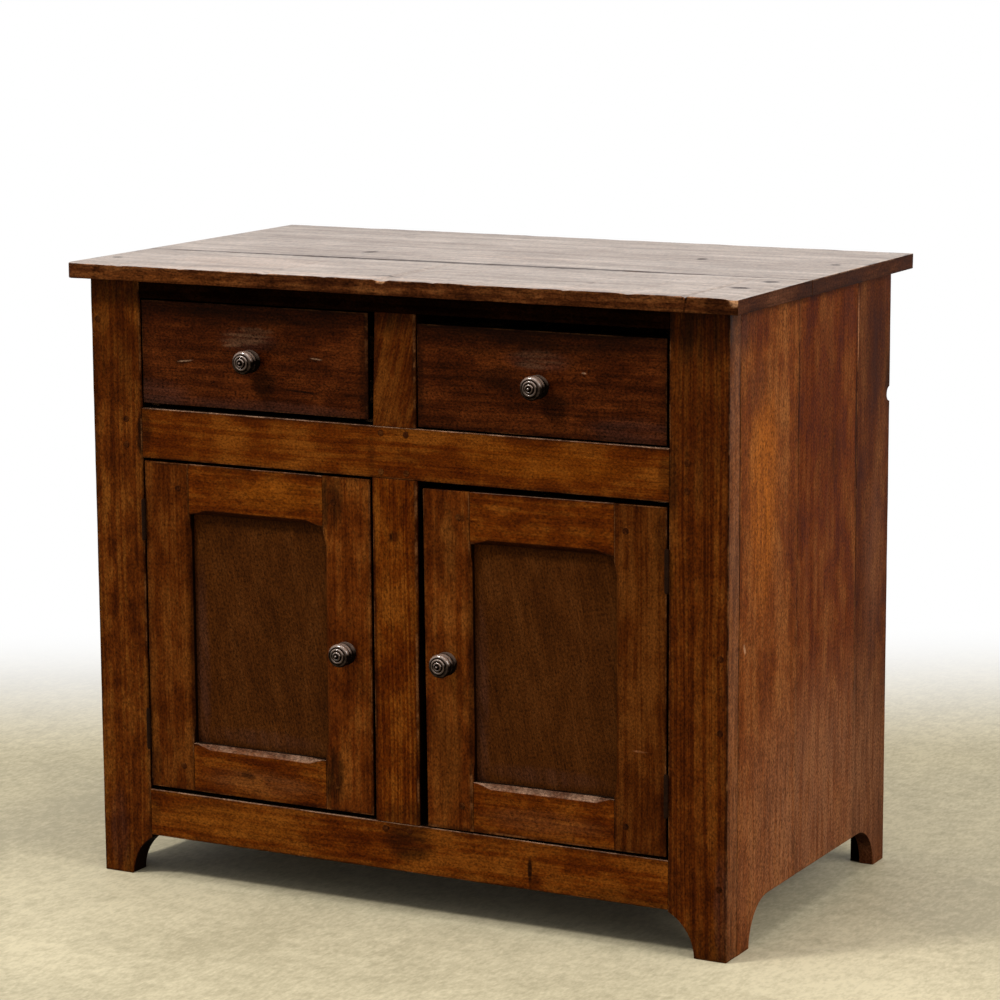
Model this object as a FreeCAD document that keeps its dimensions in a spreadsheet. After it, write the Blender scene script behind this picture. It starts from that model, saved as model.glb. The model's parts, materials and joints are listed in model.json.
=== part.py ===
import FreeCAD, Part
import os
import re

# Country buffet cupboard: plank top, pegged face frame, two drawers over two panelled doors.
# Millimetres, +Z up, +X to the viewer's right, the front faces -Y.
# The origin is on the floor under the middle of the whole cupboard's outline.

SIZES = [
    # face frame, from left to right and from the floor up
    ("left_stile_width", 75.0),
    ("left_opening_width", 346.0),
    ("divider_width", 62.0),
    ("right_opening_width", 350.0),
    ("right_stile_width", 79.0),
    ("leg_height", 57.0),
    ("bottom_rail_height", 63.0),
    ("door_opening_height", 446.0),
    ("middle_rail_height", 66.0),
    ("drawer_opening_height", 144.0),
    ("top_rail_height", 24.0),
    ("frame_thickness", 32.0),
    ("frame_tenon_thickness", 10.0),
    ("frame_tenon_shoulder", 5.0),
    ("rail_tenon_length", 45.0),
    ("divider_tenon_length", 14.0),
    ("front_foot_width", 44.0),
    ("front_cove_radius", 60.0),
    # pegs of the face frame and of the doors
    ("peg_radius", 4.0),
    ("peg_length", 24.0),
    ("peg_proud", 0.6),
    ("rail_peg_setback", 24.0),
    ("rail_peg_spread", 34.0),
    ("divider_peg_setback", 8.5),
    ("divider_peg_spread", 36.0),
    ("edge_peg_inset", 10.0),
    ("edge_peg_length", 56.0),
    ("left_edge_peg_height", 745.0),
    ("right_edge_peg_low", 92.5),
    ("right_edge_peg_middle", 288.0),
    ("right_edge_peg_high", 380.0),
    # sides, three upright boards each behind the face frame
    ("case_depth", 518.0),
    ("side_thickness", 20.0),
    ("side_front_board_width", 179.0),
    ("side_rear_board_width", 114.0),
    ("side_front_foot_width", 36.0),
    ("side_rear_foot_width", 36.0),
    ("notch_radius", 9.5),
    ("notch_height", 636.0),
    # top, two planks with a seam that is not square to the ends
    ("top_thickness", 20.0),
    ("top_overhang_front", 26.0),
    ("top_overhang_side", 21.5),
    ("top_overhang_back", 23.0),
    ("top_seam_left", 200.0),
    ("top_seam_right", 225.0),
    # back, floor and shelf
    ("back_thickness", 13.0),
    ("back_middle_board_width", 300.0),
    ("batten_width", 15.0),
    ("batten_depth", 18.0),
    ("floor_thickness", 16.0),
    ("shelf_thickness", 18.0),
    ("shelf_height", 330.0),
    ("shelf_setback", 28.0),
    ("cleat_width", 18.0),
    ("cleat_height", 30.0),
    # drawer runners and guides
    ("runner_thickness", 22.0),
    ("runner_bearing", 24.0),
    ("guide_height", 30.0),
    ("guide_clearance", 0.6),
    ("slide_clearance", 0.3),
    # drawers
    ("drawer_recess", 2.0),
    ("drawer_front_thickness", 20.0),
    ("drawer_side_thickness", 12.0),
    ("drawer_side_height", 122.0),
    ("drawer_back_thickness", 12.0),
    ("drawer_back_drop", 8.0),
    ("drawer_bottom_thickness", 8.0),
    ("drawer_bottom_rise", 12.0),
    ("drawer_groove_depth", 5.0),
    ("drawer_stop_clearance", 0.5),
    ("dovetail_lap", 6.0),
    ("dovetail_tip", 34.0),
    ("dovetail_root", 26.0),
    ("dovetail_low", 40.0),
    ("dovetail_high", 26.0),
    ("left_drawer_gap_left", 2.0),
    ("left_drawer_gap_right", 8.0),
    ("left_drawer_gap_bottom", 6.5),
    ("left_drawer_gap_top", 2.0),
    ("right_drawer_gap_left", 3.0),
    ("right_drawer_gap_right", 4.0),
    ("right_drawer_gap_bottom", 2.0),
    ("right_drawer_gap_top", 11.5),
    # doors
    ("door_thickness", 24.0),
    ("door_top_rail_height", 66.0),
    ("door_bottom_rail_height", 65.0),
    ("door_tenon_length", 42.0),
    ("door_tenon_shoulder", 12.0),
    ("door_stop_clearance", 0.5),
    ("panel_setback", 13.0),
    ("panel_thickness", 6.0),
    ("panel_tongue", 8.0),
    ("panel_expansion_gap", 1.0),
    ("door_chamfer", 7.0),
    ("chamfer_runout", 22.0),
    ("chamfer_stop", 3.0),
    ("door_peg_setback", 16.0),
    ("left_door_lock_gap", 4.0),
    ("left_door_top_gap", 3.5),
    ("left_door_bottom_gap", 5.5),
    ("left_door_hinge_stile_width", 67.0),
    ("left_door_lock_stile_width", 70.0),
    ("left_door_knob_height", 336.5),
    ("right_door_lock_gap", 10.5),
    ("right_door_top_gap", 6.0),
    ("right_door_bottom_gap", 4.0),
    ("right_door_hinge_stile_width", 71.0),
    ("right_door_lock_stile_width", 66.0),
    ("right_door_knob_height", 340.0),
    # butt hinges
    ("hinge_gap", 3.0),
    ("hinge_inset", 78.0),
    ("hinge_length", 52.0),
    ("leaf_thickness", 1.2),
    ("leaf_depth", 20.0),
    ("knuckle_radius", 2.75),
    ("knuckle_clearance", 0.3),
    ("pin_radius", 1.2),
    ("pin_clearance", 0.05),
    ("pin_tip", 1.5),
    # turned knobs: a base bead, a head bead, two beads on the face and a button
    ("knob_base_radius", 15.0),
    ("knob_base_bead", 6.0),
    ("knob_head_radius", 15.0),
    ("knob_head_bead", 7.0),
    ("knob_face_radius", 10.4),
    ("knob_face_bead", 1.8),
    ("knob_inner_radius", 6.0),
    ("knob_inner_bead", 1.3),
    ("knob_button_radius", 1.8),
    ("knob_shank_radius", 4.0),
    ("knob_shank_length", 14.0),
    ("drawer_knob_drop", 3.0),
    ("shank_clearance", 0.05),
]

# Places and sums worked out from the sizes
PLACES = {
    "case_width": "left_stile_width + left_opening_width + divider_width"
                  " + right_opening_width + right_stile_width",
    "side_middle_board_width": "case_depth - frame_thickness"
                               " - side_front_board_width - side_rear_board_width",
    "door_floor": "leg_height + bottom_rail_height",
    "door_head": "door_floor + door_opening_height",
    "drawer_floor": "door_head + middle_rail_height",
    "drawer_head": "drawer_floor + drawer_opening_height",
    "case_top": "drawer_head + top_rail_height",
    "left_x": "-case_width / 2",
    "left_opening_x": "left_x + left_stile_width",
    "divider_x": "left_opening_x + left_opening_width",
    "right_opening_x": "divider_x + divider_width",
    "right_stile_x": "right_opening_x + right_opening_width",
    "right_x": "case_width / 2",
    "inner_left_x": "left_x + side_thickness",
    "inner_right_x": "right_x - side_thickness",
    "inner_width": "case_width - 2 * side_thickness",
    "head_top": "2 * knob_base_bead + 2 * knob_head_bead",
    "face_top": "head_top + 1.5 * knob_face_bead",
    "inner_top": "face_top + 1.5 * knob_inner_bead",
    "knob_projection": "inner_top + knob_button_radius",
    "front_reach": "max(top_overhang_front; knob_projection)",
    "front_y": "(front_reach - case_depth - top_overhang_back) / 2",
    "frame_back_y": "front_y + frame_thickness",
    "back_y": "front_y + case_depth - back_thickness",
    "rear_y": "front_y + case_depth",
    "batten_y": "back_y - batten_depth",
    "frame_tenon_y": "front_y + (frame_thickness - frame_tenon_thickness) / 2",
    "drawer_y": "front_y + drawer_recess",
    "drawer_inside_y": "drawer_y + drawer_front_thickness",
    "drawer_end_y": "back_y - drawer_stop_clearance",
    "drawer_side_z": "drawer_floor + slide_clearance",
    "drawer_bottom_z": "drawer_side_z + drawer_bottom_rise",
    "floor_front_y": "front_y + door_thickness + door_stop_clearance",
    "panel_y": "front_y + panel_setback",
    "panel_groove": "panel_tongue + panel_expansion_gap",
    "pin_y": "front_y - knuckle_radius",
    "knuckle_length": "(hinge_length - 2 * knuckle_clearance) / 3",
}

X_AXIS = FreeCAD.Vector(1, 0, 0)
Y_AXIS = FreeCAD.Vector(0, 1, 0)
Z_AXIS = FreeCAD.Vector(0, 0, 1)
ALONG_X = FreeCAD.Rotation(Y_AXIS, 90)
ALONG_Y = FreeCAD.Rotation(X_AXIS, -90)
TOWARDS_FRONT = FreeCAD.Rotation(X_AXIS, 90)

doc = FreeCAD.newDocument("buffet_cupboard")
sheet = doc.addObject("Spreadsheet::Sheet", "Sizes")
for row, (alias, value) in enumerate(SIZES, start=1):
    sheet.set(f"A{row}", alias)
    sheet.set(f"B{row}", str(value))
    sheet.setAlias(f"B{row}", alias)
doc.recompute()

SIZE_WORDS = re.compile(r"\b(" + "|".join(alias for alias, value in SIZES) + r")\b")
PLACE_WORDS = re.compile(r"\b(" + "|".join(PLACES) + r")\b")
nodes = []


def expression(text):
    """The text with every place written out and every size read from the sheet."""
    while PLACE_WORDS.search(text):
        text = PLACE_WORDS.sub(lambda word: f"({PLACES[word.group(1)]})", text)
    return SIZE_WORDS.sub(r"Sizes.\1", text)


def bind(thing, **sizes):
    for name, text in sizes.items():
        thing.setExpression(name, expression(text))
    return thing


def put(thing, x, y, z, turn=None):
    if turn is not None:
        thing.Placement = FreeCAD.Placement(FreeCAD.Vector(), turn)
    for axis, text in zip("xyz", (x, y, z)):
        thing.setExpression(f".Placement.Base.{axis}", expression(text))
    return thing


def box(x, y, z, length, width, height):
    block = doc.addObject("Part::Box", "block")
    bind(block, Length=length, Width=width, Height=height)
    return put(block, x, y, z)


def rod(x, y, z, radius, length, turn=None):
    bar = doc.addObject("Part::Cylinder", "rod")
    bind(bar, Radius=radius, Height=length)
    return put(bar, x, y, z, turn)


def wedge(x, y, z, near, far, depth, turn=None):
    """A taper that runs along its own Y from the near (x, x, z, z) section to the far one."""
    taper = doc.addObject("Part::Wedge", "taper")
    bind(taper, Xmin=near[0], Xmax=near[1], Zmin=near[2], Zmax=near[3])
    bind(taper, X2min=far[0], X2max=far[1], Z2min=far[2], Z2max=far[3])
    bind(taper, Ymin="0", Ymax=depth)
    return put(taper, x, y, z, turn)


def fuse(*shapes):
    joined = doc.addObject("Part::MultiFuse", "joined")
    joined.Shapes = list(shapes)
    return joined


def cut(base, *tools):
    cleared = doc.addObject("Part::Cut", "cleared")
    cleared.Base = base
    cleared.Tool = tools[0] if len(tools) == 1 else fuse(*tools)
    return cleared


def group(*shapes):
    loose = doc.addObject("Part::Compound", "loose")
    loose.Links = list(shapes)
    return loose


def node(label, thing):
    thing.Label = label
    nodes.append(thing)
    return thing


# Top: two planks, each as long as the case and its overhangs

def top_plank(label, left_start, left_end, right_start, right_end):
    turn = FreeCAD.Rotation(Z_AXIS, -90)
    near = (f"-({left_end})", f"-({left_start})", "0", "top_thickness")
    far = (f"-({right_end})", f"-({right_start})", "0", "top_thickness")
    length = "case_width + 2 * top_overhang_side"
    node(label, wedge("left_x - top_overhang_side", "front_y - top_overhang_front", "case_top",
                      near, far, length, turn))


def make_top():
    depth = "case_depth + top_overhang_front + top_overhang_back"
    top_plank("top_front_board", "0", "top_seam_left", "0", "top_seam_right")
    top_plank("top_rear_board", "top_seam_left", depth, "top_seam_right", depth)


# Sides: three boards each, under which one arch leaves a front and a rear foot

def make_side(hand, x):
    arch_front = "frame_back_y + side_front_foot_width + leg_height"
    arch_rear = "rear_y - side_rear_foot_width - leg_height"
    boards = [
        ("front", "frame_back_y", "side_front_board_width"),
        ("middle", "frame_back_y + side_front_board_width", "side_middle_board_width"),
        ("rear", "rear_y - side_rear_board_width", "side_rear_board_width"),
    ]
    for name, y, width in boards:
        board = box(x, y, "0", "side_thickness", width, "case_top")
        tools = [box(x, arch_front, "0", "side_thickness", f"({arch_rear}) - ({arch_front})",
                     "leg_height")]
        if name == "front":
            tools.append(rod(x, arch_front, "0", "leg_height", "side_thickness", ALONG_X))
        if name == "rear":
            tools.append(rod(x, arch_rear, "0", "leg_height", "side_thickness", ALONG_X))
        if name == "rear" and hand == "right":
            tools.append(rod(x, "rear_y", "notch_height", "notch_radius", "side_thickness", ALONG_X))
        node(f"{hand}_side_{name}_board", cut(board, *tools))


# Face frame: rails tenoned into the stiles, dividers tenoned into the rails

RAILS = {
    "top": ("drawer_head", "top_rail_height"),
    "middle": ("door_head", "middle_rail_height"),
    "bottom": ("leg_height", "bottom_rail_height"),
}


def rail_tenon(rail, x):
    z, height = RAILS[rail]
    return box(x, "frame_tenon_y", f"{z} + frame_tenon_shoulder", "rail_tenon_length",
               "frame_tenon_thickness", f"{height} - 2 * frame_tenon_shoulder")


def divider_tenon(z):
    return box("divider_x + frame_tenon_shoulder", "frame_tenon_y", z,
               "divider_width - 2 * frame_tenon_shoulder", "frame_tenon_thickness",
               "divider_tenon_length")


def make_stile(hand, x, width, tenon_x, cove_x):
    stile = box(x, "front_y", "0", width, "frame_thickness", "case_top")
    cove = rod(cove_x, "front_y", "0", "front_cove_radius", "frame_thickness", ALONG_Y)
    mortises = [rail_tenon(rail, tenon_x) for rail in RAILS]
    node(f"{hand}_stile", cut(stile, cove, *mortises))


def make_rail(rail, divider_tenon_heights):
    z, height = RAILS[rail]
    length = "right_stile_x - left_opening_x"
    bar = fuse(box("left_opening_x", "front_y", z, length, "frame_thickness", height),
               rail_tenon(rail, "left_opening_x - rail_tenon_length"),
               rail_tenon(rail, "right_stile_x"))
    mortises = [divider_tenon(tenon_z) for tenon_z in divider_tenon_heights]
    node(f"{rail}_rail", cut(bar, *mortises))


def make_divider(name, z, height):
    post = box("divider_x", "front_y", z, "divider_width", "frame_thickness", height)
    node(f"{name}_divider", fuse(post, divider_tenon(f"{z} - divider_tenon_length"),
                                 divider_tenon(f"{z} + {height}")))


def peg(x, z, length="peg_length"):
    return rod(x, "front_y - peg_proud", z, "peg_radius", length, ALONG_Y)


def make_frame():
    make_stile("left", "left_x", "left_stile_width", "left_opening_x - rail_tenon_length",
               "left_x + front_foot_width + front_cove_radius")
    make_stile("right", "right_stile_x", "right_stile_width", "right_stile_x",
               "right_x - front_foot_width - front_cove_radius")
    make_rail("top", ["drawer_head"])
    make_rail("middle", ["drawer_floor - divider_tenon_length", "door_head"])
    make_rail("bottom", ["door_floor - divider_tenon_length"])
    make_divider("drawer", "drawer_floor", "drawer_opening_height")
    make_divider("door", "door_floor", "door_opening_height")


def make_frame_pegs():
    pegs = []
    for side in ("-", "+"):
        z = f"door_head + middle_rail_height / 2 {side} rail_peg_spread / 2"
        pegs.append(peg("left_opening_x - rail_peg_setback", z))
        pegs.append(peg("right_stile_x + rail_peg_setback", z))
        x = f"divider_x + divider_width / 2 {side} divider_peg_spread / 2"
        pegs.append(peg(x, "drawer_floor - divider_peg_setback"))
        pegs.append(peg(x, "door_head + divider_peg_setback"))
        pegs.append(peg(x, "door_floor - divider_peg_setback"))
    pegs.append(peg("left_x + edge_peg_inset", "left_edge_peg_height", "edge_peg_length"))
    for z in ("right_edge_peg_low", "right_edge_peg_middle", "right_edge_peg_high"):
        pegs.append(peg("right_x - edge_peg_inset", z, "edge_peg_length"))
    node("frame_pegs", group(*pegs))


# Back, battens, floor and shelf

def batten(x):
    return box(x, "batten_y", "0", "batten_width", "batten_depth", "case_top")


def batten_pair():
    return [batten("inner_left_x"), batten("inner_right_x - batten_width")]


def make_back():
    outer_width = "(inner_width - back_middle_board_width) / 2"
    boards = [
        ("left", "inner_left_x", outer_width),
        ("middle", "-back_middle_board_width / 2", "back_middle_board_width"),
        ("right", "back_middle_board_width / 2", outer_width),
    ]
    for name, x, width in boards:
        node(f"back_{name}_board", box(x, "back_y", "leg_height", width, "back_thickness",
                                       "case_top - leg_height"))
    left_batten, right_batten = batten_pair()
    node("left_rear_batten", left_batten)
    node("right_rear_batten", right_batten)


def make_floor():
    """The floor lies on the bottom rail, and its front edge stops the doors."""
    notch_depth = "frame_thickness - door_thickness - door_stop_clearance"
    plank = box("inner_left_x", "floor_front_y", "door_floor", "inner_width",
                "back_y - floor_front_y", "floor_thickness")
    notches = [
        ("inner_left_x", "left_opening_x - inner_left_x"),
        ("divider_x", "divider_width"),
        ("right_stile_x", "inner_right_x - right_stile_x"),
    ]
    tools = [box(x, "floor_front_y", "door_floor", width, notch_depth, "floor_thickness")
             for x, width in notches]
    node("cupboard_floor", cut(plank, *tools, *batten_pair()))


def make_shelf():
    front = "frame_back_y + shelf_setback"
    plank = box("inner_left_x", front, "shelf_height", "inner_width", f"back_y - ({front})",
                "shelf_thickness")
    node("shelf", cut(plank, *batten_pair()))


def make_cleats():
    cleats = []
    for x in ("inner_left_x", "inner_right_x - cleat_width"):
        for z in ("door_floor - cleat_height", "shelf_height - cleat_height"):
            cleats.append(box(x, "frame_back_y", z, "cleat_width", "batten_y - frame_back_y",
                              "cleat_height"))
    node("cleats", group(*cleats))


# Runners under the drawer sides, and guides beside them

def make_runners():
    bearings = [
        ("left", "inner_left_x", "left_opening_x + runner_bearing", "batten_y"),
        ("centre", "divider_x - runner_bearing", "right_opening_x + runner_bearing", "back_y"),
        ("right", "right_stile_x - runner_bearing", "inner_right_x", "batten_y"),
    ]
    for name, start, end, rear in bearings:
        node(f"{name}_runner", box(start, "frame_back_y", "drawer_floor - runner_thickness",
                                   f"{end} - ({start})", f"{rear} - frame_back_y",
                                   "runner_thickness"))
    fences = [
        ("left", "inner_left_x", "left_opening_x + left_drawer_gap_left - guide_clearance",
         "batten_y"),
        ("centre", "divider_x - left_drawer_gap_right + guide_clearance",
         "right_opening_x + right_drawer_gap_left - guide_clearance", "back_y"),
        ("right", "right_stile_x - right_drawer_gap_right + guide_clearance", "inner_right_x",
         "batten_y"),
    ]
    for name, start, end, rear in fences:
        node(f"{name}_guide", box(start, "frame_back_y", "drawer_floor", f"{end} - ({start})",
                                  f"{rear} - frame_back_y", "guide_height"))


# Knobs, turned about an axis that points to the front

def knob_bead(radius, bead, height):
    ring = doc.addObject("Part::Torus", "ring")
    bind(ring, Radius1=f"{radius} - {bead}", Radius2=bead)
    put(ring, "0", "0", height)
    return fuse(ring, rod("0", "0", f"{height} - {bead}", f"{radius} - {bead}", f"2 * {bead}"))


def make_knob(label, x, y, z):
    button = doc.addObject("Part::Sphere", "button")
    bind(button, Radius="knob_button_radius")
    put(button, "0", "0", "inner_top")
    beads = [
        knob_bead("knob_base_radius", "knob_base_bead", "knob_base_bead"),
        knob_bead("knob_head_radius", "knob_head_bead", "head_top - knob_head_bead"),
        knob_bead("knob_face_radius", "knob_face_bead", "head_top + knob_face_bead / 2"),
        knob_bead("knob_inner_radius", "knob_inner_bead", "face_top + knob_inner_bead / 2"),
    ]
    shank = rod("0", "0", "-knob_shank_length", "knob_shank_radius",
                "knob_shank_length + knob_base_bead")
    node(label, put(fuse(*beads, button, shank), x, y, z, TOWARDS_FRONT))


def shank_hole(x, y, z):
    return rod(x, y, z, "knob_shank_radius + shank_clearance", "knob_shank_length", ALONG_Y)


# Drawers: dovetailed at the front, the bottom held in grooves

def dovetails(x):
    section = ("0", "drawer_side_thickness")
    near = section + ("-dovetail_tip / 2", "dovetail_tip / 2")
    far = section + ("-dovetail_root / 2", "dovetail_root / 2")
    heights = ("drawer_side_z + dovetail_low", "drawer_side_z + drawer_side_height - dovetail_high")
    return [wedge(x, "drawer_y + dovetail_lap", z, near, far,
                  "drawer_front_thickness - dovetail_lap") for z in heights]


def make_drawer(hand, opening_start, opening_end):
    start = f"({opening_start} + {hand}_drawer_gap_left)"
    end = f"({opening_end} - {hand}_drawer_gap_right)"
    right_side = f"({end} - drawer_side_thickness)"
    inside = f"({start} + drawer_side_thickness)"
    inside_width = f"({right_side} - {inside})"
    front_z = f"(drawer_floor + {hand}_drawer_gap_bottom)"
    front_height = f"(drawer_head - {hand}_drawer_gap_top - {front_z})"
    bottom_x = f"({inside} - drawer_groove_depth)"
    bottom_width = f"({inside_width} + 2 * drawer_groove_depth)"
    bottom_y = "drawer_inside_y - drawer_groove_depth"
    knob_x = f"({start} + {end}) / 2"
    knob_z = f"{front_z} + {front_height} / 2 - drawer_knob_drop"

    def bottom():
        return box(bottom_x, bottom_y, "drawer_bottom_z", bottom_width,
                   f"drawer_end_y - ({bottom_y})", "drawer_bottom_thickness")

    front = box(start, "drawer_y", front_z, f"{end} - {start}", "drawer_front_thickness",
                front_height)
    node(f"{hand}_drawer_front", cut(front, *dovetails(start), *dovetails(right_side), bottom(),
                                     shank_hole(knob_x, "drawer_y", knob_z)))
    for side, x in (("left", start), ("right", right_side)):
        board = box(x, "drawer_inside_y", "drawer_side_z", "drawer_side_thickness",
                    "drawer_end_y - drawer_inside_y", "drawer_side_height")
        node(f"{hand}_drawer_{side}_side", cut(fuse(board, *dovetails(x)), bottom()))
    back_z = "drawer_bottom_z + drawer_bottom_thickness"
    back_top = "drawer_side_z + drawer_side_height - drawer_back_drop"
    node(f"{hand}_drawer_back", box(inside, "drawer_end_y - drawer_back_thickness", back_z,
                                    inside_width, "drawer_back_thickness",
                                    f"{back_top} - ({back_z})"))
    node(f"{hand}_drawer_bottom", bottom())
    make_knob(f"{hand}_drawer_knob", knob_x, "drawer_y", knob_z)


# Doors: tenoned frames with stopped chamfers round a floating panel

def stopped_chamfer(x, z, length, turn):
    """A shallow boat shape that planes an arris off at 45 degrees and runs out at both ends."""
    depth = "door_chamfer / sqrt(2)"
    run = "(chamfer_stop + chamfer_runout)"
    near = (f"-{depth}", depth, "chamfer_stop", f"{length} - chamfer_stop")
    far = (f"-{depth}", depth, run, f"{length} - {run}")
    return wedge(x, "front_y", z, near, far, depth, turn)


INTO_LEFT_WOOD = FreeCAD.Rotation(Z_AXIS, 45)
INTO_RIGHT_WOOD = FreeCAD.Rotation(Z_AXIS, -45)
INTO_UPPER_WOOD = FreeCAD.Rotation(X_AXIS, 45).multiply(ALONG_X)
INTO_LOWER_WOOD = FreeCAD.Rotation(X_AXIS, -45).multiply(ALONG_X)


def make_door(hand, left_edge, right_edge, left_name, right_name):
    low = f"(door_floor + {hand}_door_bottom_gap)"
    high = f"(door_head - {hand}_door_top_gap)"
    left_width = f"{hand}_door_{left_name}_stile_width"
    right_width = f"{hand}_door_{right_name}_stile_width"
    inner_left = f"({left_edge} + {left_width})"
    inner_right = f"({right_edge} - {right_width})"
    inner_low = f"({low} + door_bottom_rail_height)"
    inner_high = f"({high} - door_top_rail_height)"
    inner_width = f"({inner_right} - {inner_left})"
    inner_height = f"({inner_high} - {inner_low})"
    tenon_spans = {
        "top": (f"{inner_high} + panel_groove",
                "door_top_rail_height - panel_groove - door_tenon_shoulder"),
        "bottom": (f"{low} + door_tenon_shoulder",
                   "door_bottom_rail_height - panel_groove - door_tenon_shoulder"),
    }

    def tenon(rail, x):
        z, height = tenon_spans[rail]
        return box(x, "panel_y", z, "door_tenon_length", "panel_thickness", height)

    def groove():
        return box(f"{inner_left} - panel_groove", "panel_y", f"{inner_low} - panel_groove",
                   f"{inner_width} + 2 * panel_groove", "panel_thickness",
                   f"{inner_height} + 2 * panel_groove")

    knob_x = {"left": f"{right_edge} - {right_width} / 2", "right": f"{left_edge} + {left_width} / 2"}
    knob_z = f"{hand}_door_knob_height"
    stiles = [
        (left_name, left_edge, left_width, f"{inner_left} - door_tenon_length", inner_left,
         INTO_LEFT_WOOD),
        (right_name, inner_right, right_width, inner_right, inner_right, INTO_RIGHT_WOOD),
    ]
    for name, x, width, tenon_x, arris_x, turn in stiles:
        post = box(x, "front_y", low, width, "door_thickness", f"{high} - {low}")
        tools = [groove(), tenon("top", tenon_x), tenon("bottom", tenon_x),
                 stopped_chamfer(arris_x, inner_low, inner_height, turn)]
        if name == "lock":
            tools.append(shank_hole(knob_x[hand], "front_y", knob_z))
        node(f"{hand}_door_{name}_stile", cut(post, *tools))
    rails = [
        ("top", inner_high, "door_top_rail_height", inner_high, INTO_UPPER_WOOD),
        ("bottom", low, "door_bottom_rail_height", inner_low, INTO_LOWER_WOOD),
    ]
    for name, z, height, arris_z, turn in rails:
        bar = box(inner_left, "front_y", z, inner_width, "door_thickness", height)
        shaped = cut(bar, groove(), stopped_chamfer(inner_left, arris_z, inner_width, turn))
        node(f"{hand}_door_{name}_rail", fuse(shaped, tenon(name, f"{inner_left} - door_tenon_length"),
                                              tenon(name, inner_right)))
    node(f"{hand}_door_panel", box(f"{inner_left} - panel_tongue", "panel_y",
                                   f"{inner_low} - panel_tongue", f"{inner_width} + 2 * panel_tongue",
                                   "panel_thickness", f"{inner_height} + 2 * panel_tongue"))
    pegs = []
    for x in (f"{inner_left} - door_peg_setback", f"{inner_right} + door_peg_setback"):
        for z in (f"{inner_high} + door_top_rail_height / 2", f"{low} + door_bottom_rail_height / 2"):
            pegs.append(peg(x, z, "door_thickness + peg_proud"))
    node(f"{hand}_door_pegs", group(*pegs))
    make_knob(f"{hand}_door_knob", knob_x[hand], "front_y", knob_z)


# Butt hinges: two frame knuckles, one door knuckle and a pin with small tips

def hinge_barrel(x, z, radius, length):
    return rod(x, "pin_y", z, radius, length)


def hinge_parts(pin_x, frame_leaf_x, door_leaf_x, centre_z):
    low = f"({centre_z} - hinge_length / 2)"
    middle = f"({low} + knuckle_length + knuckle_clearance)"
    upper = f"({middle} + knuckle_length + knuckle_clearance)"
    swept = "knuckle_radius + knuckle_clearance"
    bore_radius = "pin_radius + pin_clearance"

    def leaf(x):
        return box(x, "pin_y", low, "leaf_thickness", "front_y + leaf_depth - pin_y", "hinge_length")

    def bore():
        return hinge_barrel(pin_x, low, bore_radius, "hinge_length")

    frame_leaf = cut(leaf(frame_leaf_x),
                     hinge_barrel(pin_x, f"{middle} - knuckle_clearance", swept,
                                  "knuckle_length + 2 * knuckle_clearance"))
    door_leaf = cut(leaf(door_leaf_x),
                    hinge_barrel(pin_x, low, swept, "knuckle_length + knuckle_clearance"),
                    hinge_barrel(pin_x, f"{upper} - knuckle_clearance", swept,
                                 "knuckle_length + knuckle_clearance"))
    frame_half = cut(fuse(frame_leaf, hinge_barrel(pin_x, low, "knuckle_radius", "knuckle_length"),
                          hinge_barrel(pin_x, upper, "knuckle_radius", "knuckle_length")), bore())
    door_half = cut(fuse(door_leaf, hinge_barrel(pin_x, middle, "knuckle_radius", "knuckle_length")),
                    bore())
    pin = fuse(hinge_barrel(pin_x, f"{low} - pin_tip", "pin_radius", "hinge_length + 2 * pin_tip"),
               hinge_barrel(pin_x, f"{low} - pin_tip", "knuckle_radius - pin_radius / 2", "pin_tip"),
               hinge_barrel(pin_x, f"{low} + hinge_length", "knuckle_radius - pin_radius / 2",
                            "pin_tip"))
    return frame_half, door_half, pin


def make_hinges():
    frame_halves = []
    pins = []
    sides = [
        ("left", "left_opening_x + hinge_gap / 2", "left_opening_x",
         "left_opening_x + hinge_gap - leaf_thickness"),
        ("right", "right_stile_x - hinge_gap / 2", "right_stile_x - leaf_thickness",
         "right_stile_x - hinge_gap"),
    ]
    for hand, pin_x, frame_leaf_x, door_leaf_x in sides:
        door_halves = []
        for centre_z in (f"(door_floor + {hand}_door_bottom_gap + hinge_inset)",
                         f"(door_head - {hand}_door_top_gap - hinge_inset)"):
            frame_half, door_half, pin = hinge_parts(pin_x, frame_leaf_x, door_leaf_x, centre_z)
            frame_halves.append(frame_half)
            door_halves.append(door_half)
            pins.append(pin)
        node(f"{hand}_door_hinge_leaves", group(*door_halves))
    node("hinge_frame_leaves", group(*frame_halves))
    node("hinge_pins", group(*pins))


def check_document():
    for thing in doc.Objects:
        if {"Invalid", "Error"} & set(thing.State):
            raise RuntimeError(f"{thing.Label} did not recompute: {thing.State}")
    for thing in nodes:
        if thing.Shape.isNull() or not thing.Shape.isValid() or not thing.Shape.Solids:
            raise RuntimeError(f"{thing.Label} has no valid solid")


make_top()
make_side("left", "left_x")
make_side("right", "inner_right_x")
make_frame()
make_frame_pegs()
make_back()
make_floor()
make_shelf()
make_cleats()
make_runners()
make_drawer("left", "left_opening_x", "divider_x")
make_drawer("right", "right_opening_x", "right_stile_x")
make_door("left", "(left_opening_x + hinge_gap)", "(divider_x - left_door_lock_gap)",
          "hinge", "lock")
make_door("right", "(right_opening_x + right_door_lock_gap)", "(right_stile_x - hinge_gap)",
          "lock", "hinge")
make_hinges()

doc.recompute()
check_document()
os.makedirs("parts", exist_ok=True)
for thing in nodes:
    thing.Shape.exportStep(f"parts/{thing.Label}.step")
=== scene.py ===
"""An old pine buffet cupboard: its worn surfaces, its finishes and the plain room it stands in."""
import json
import math

import bpy
from mathutils import Euler, Matrix, Vector, noise

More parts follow.
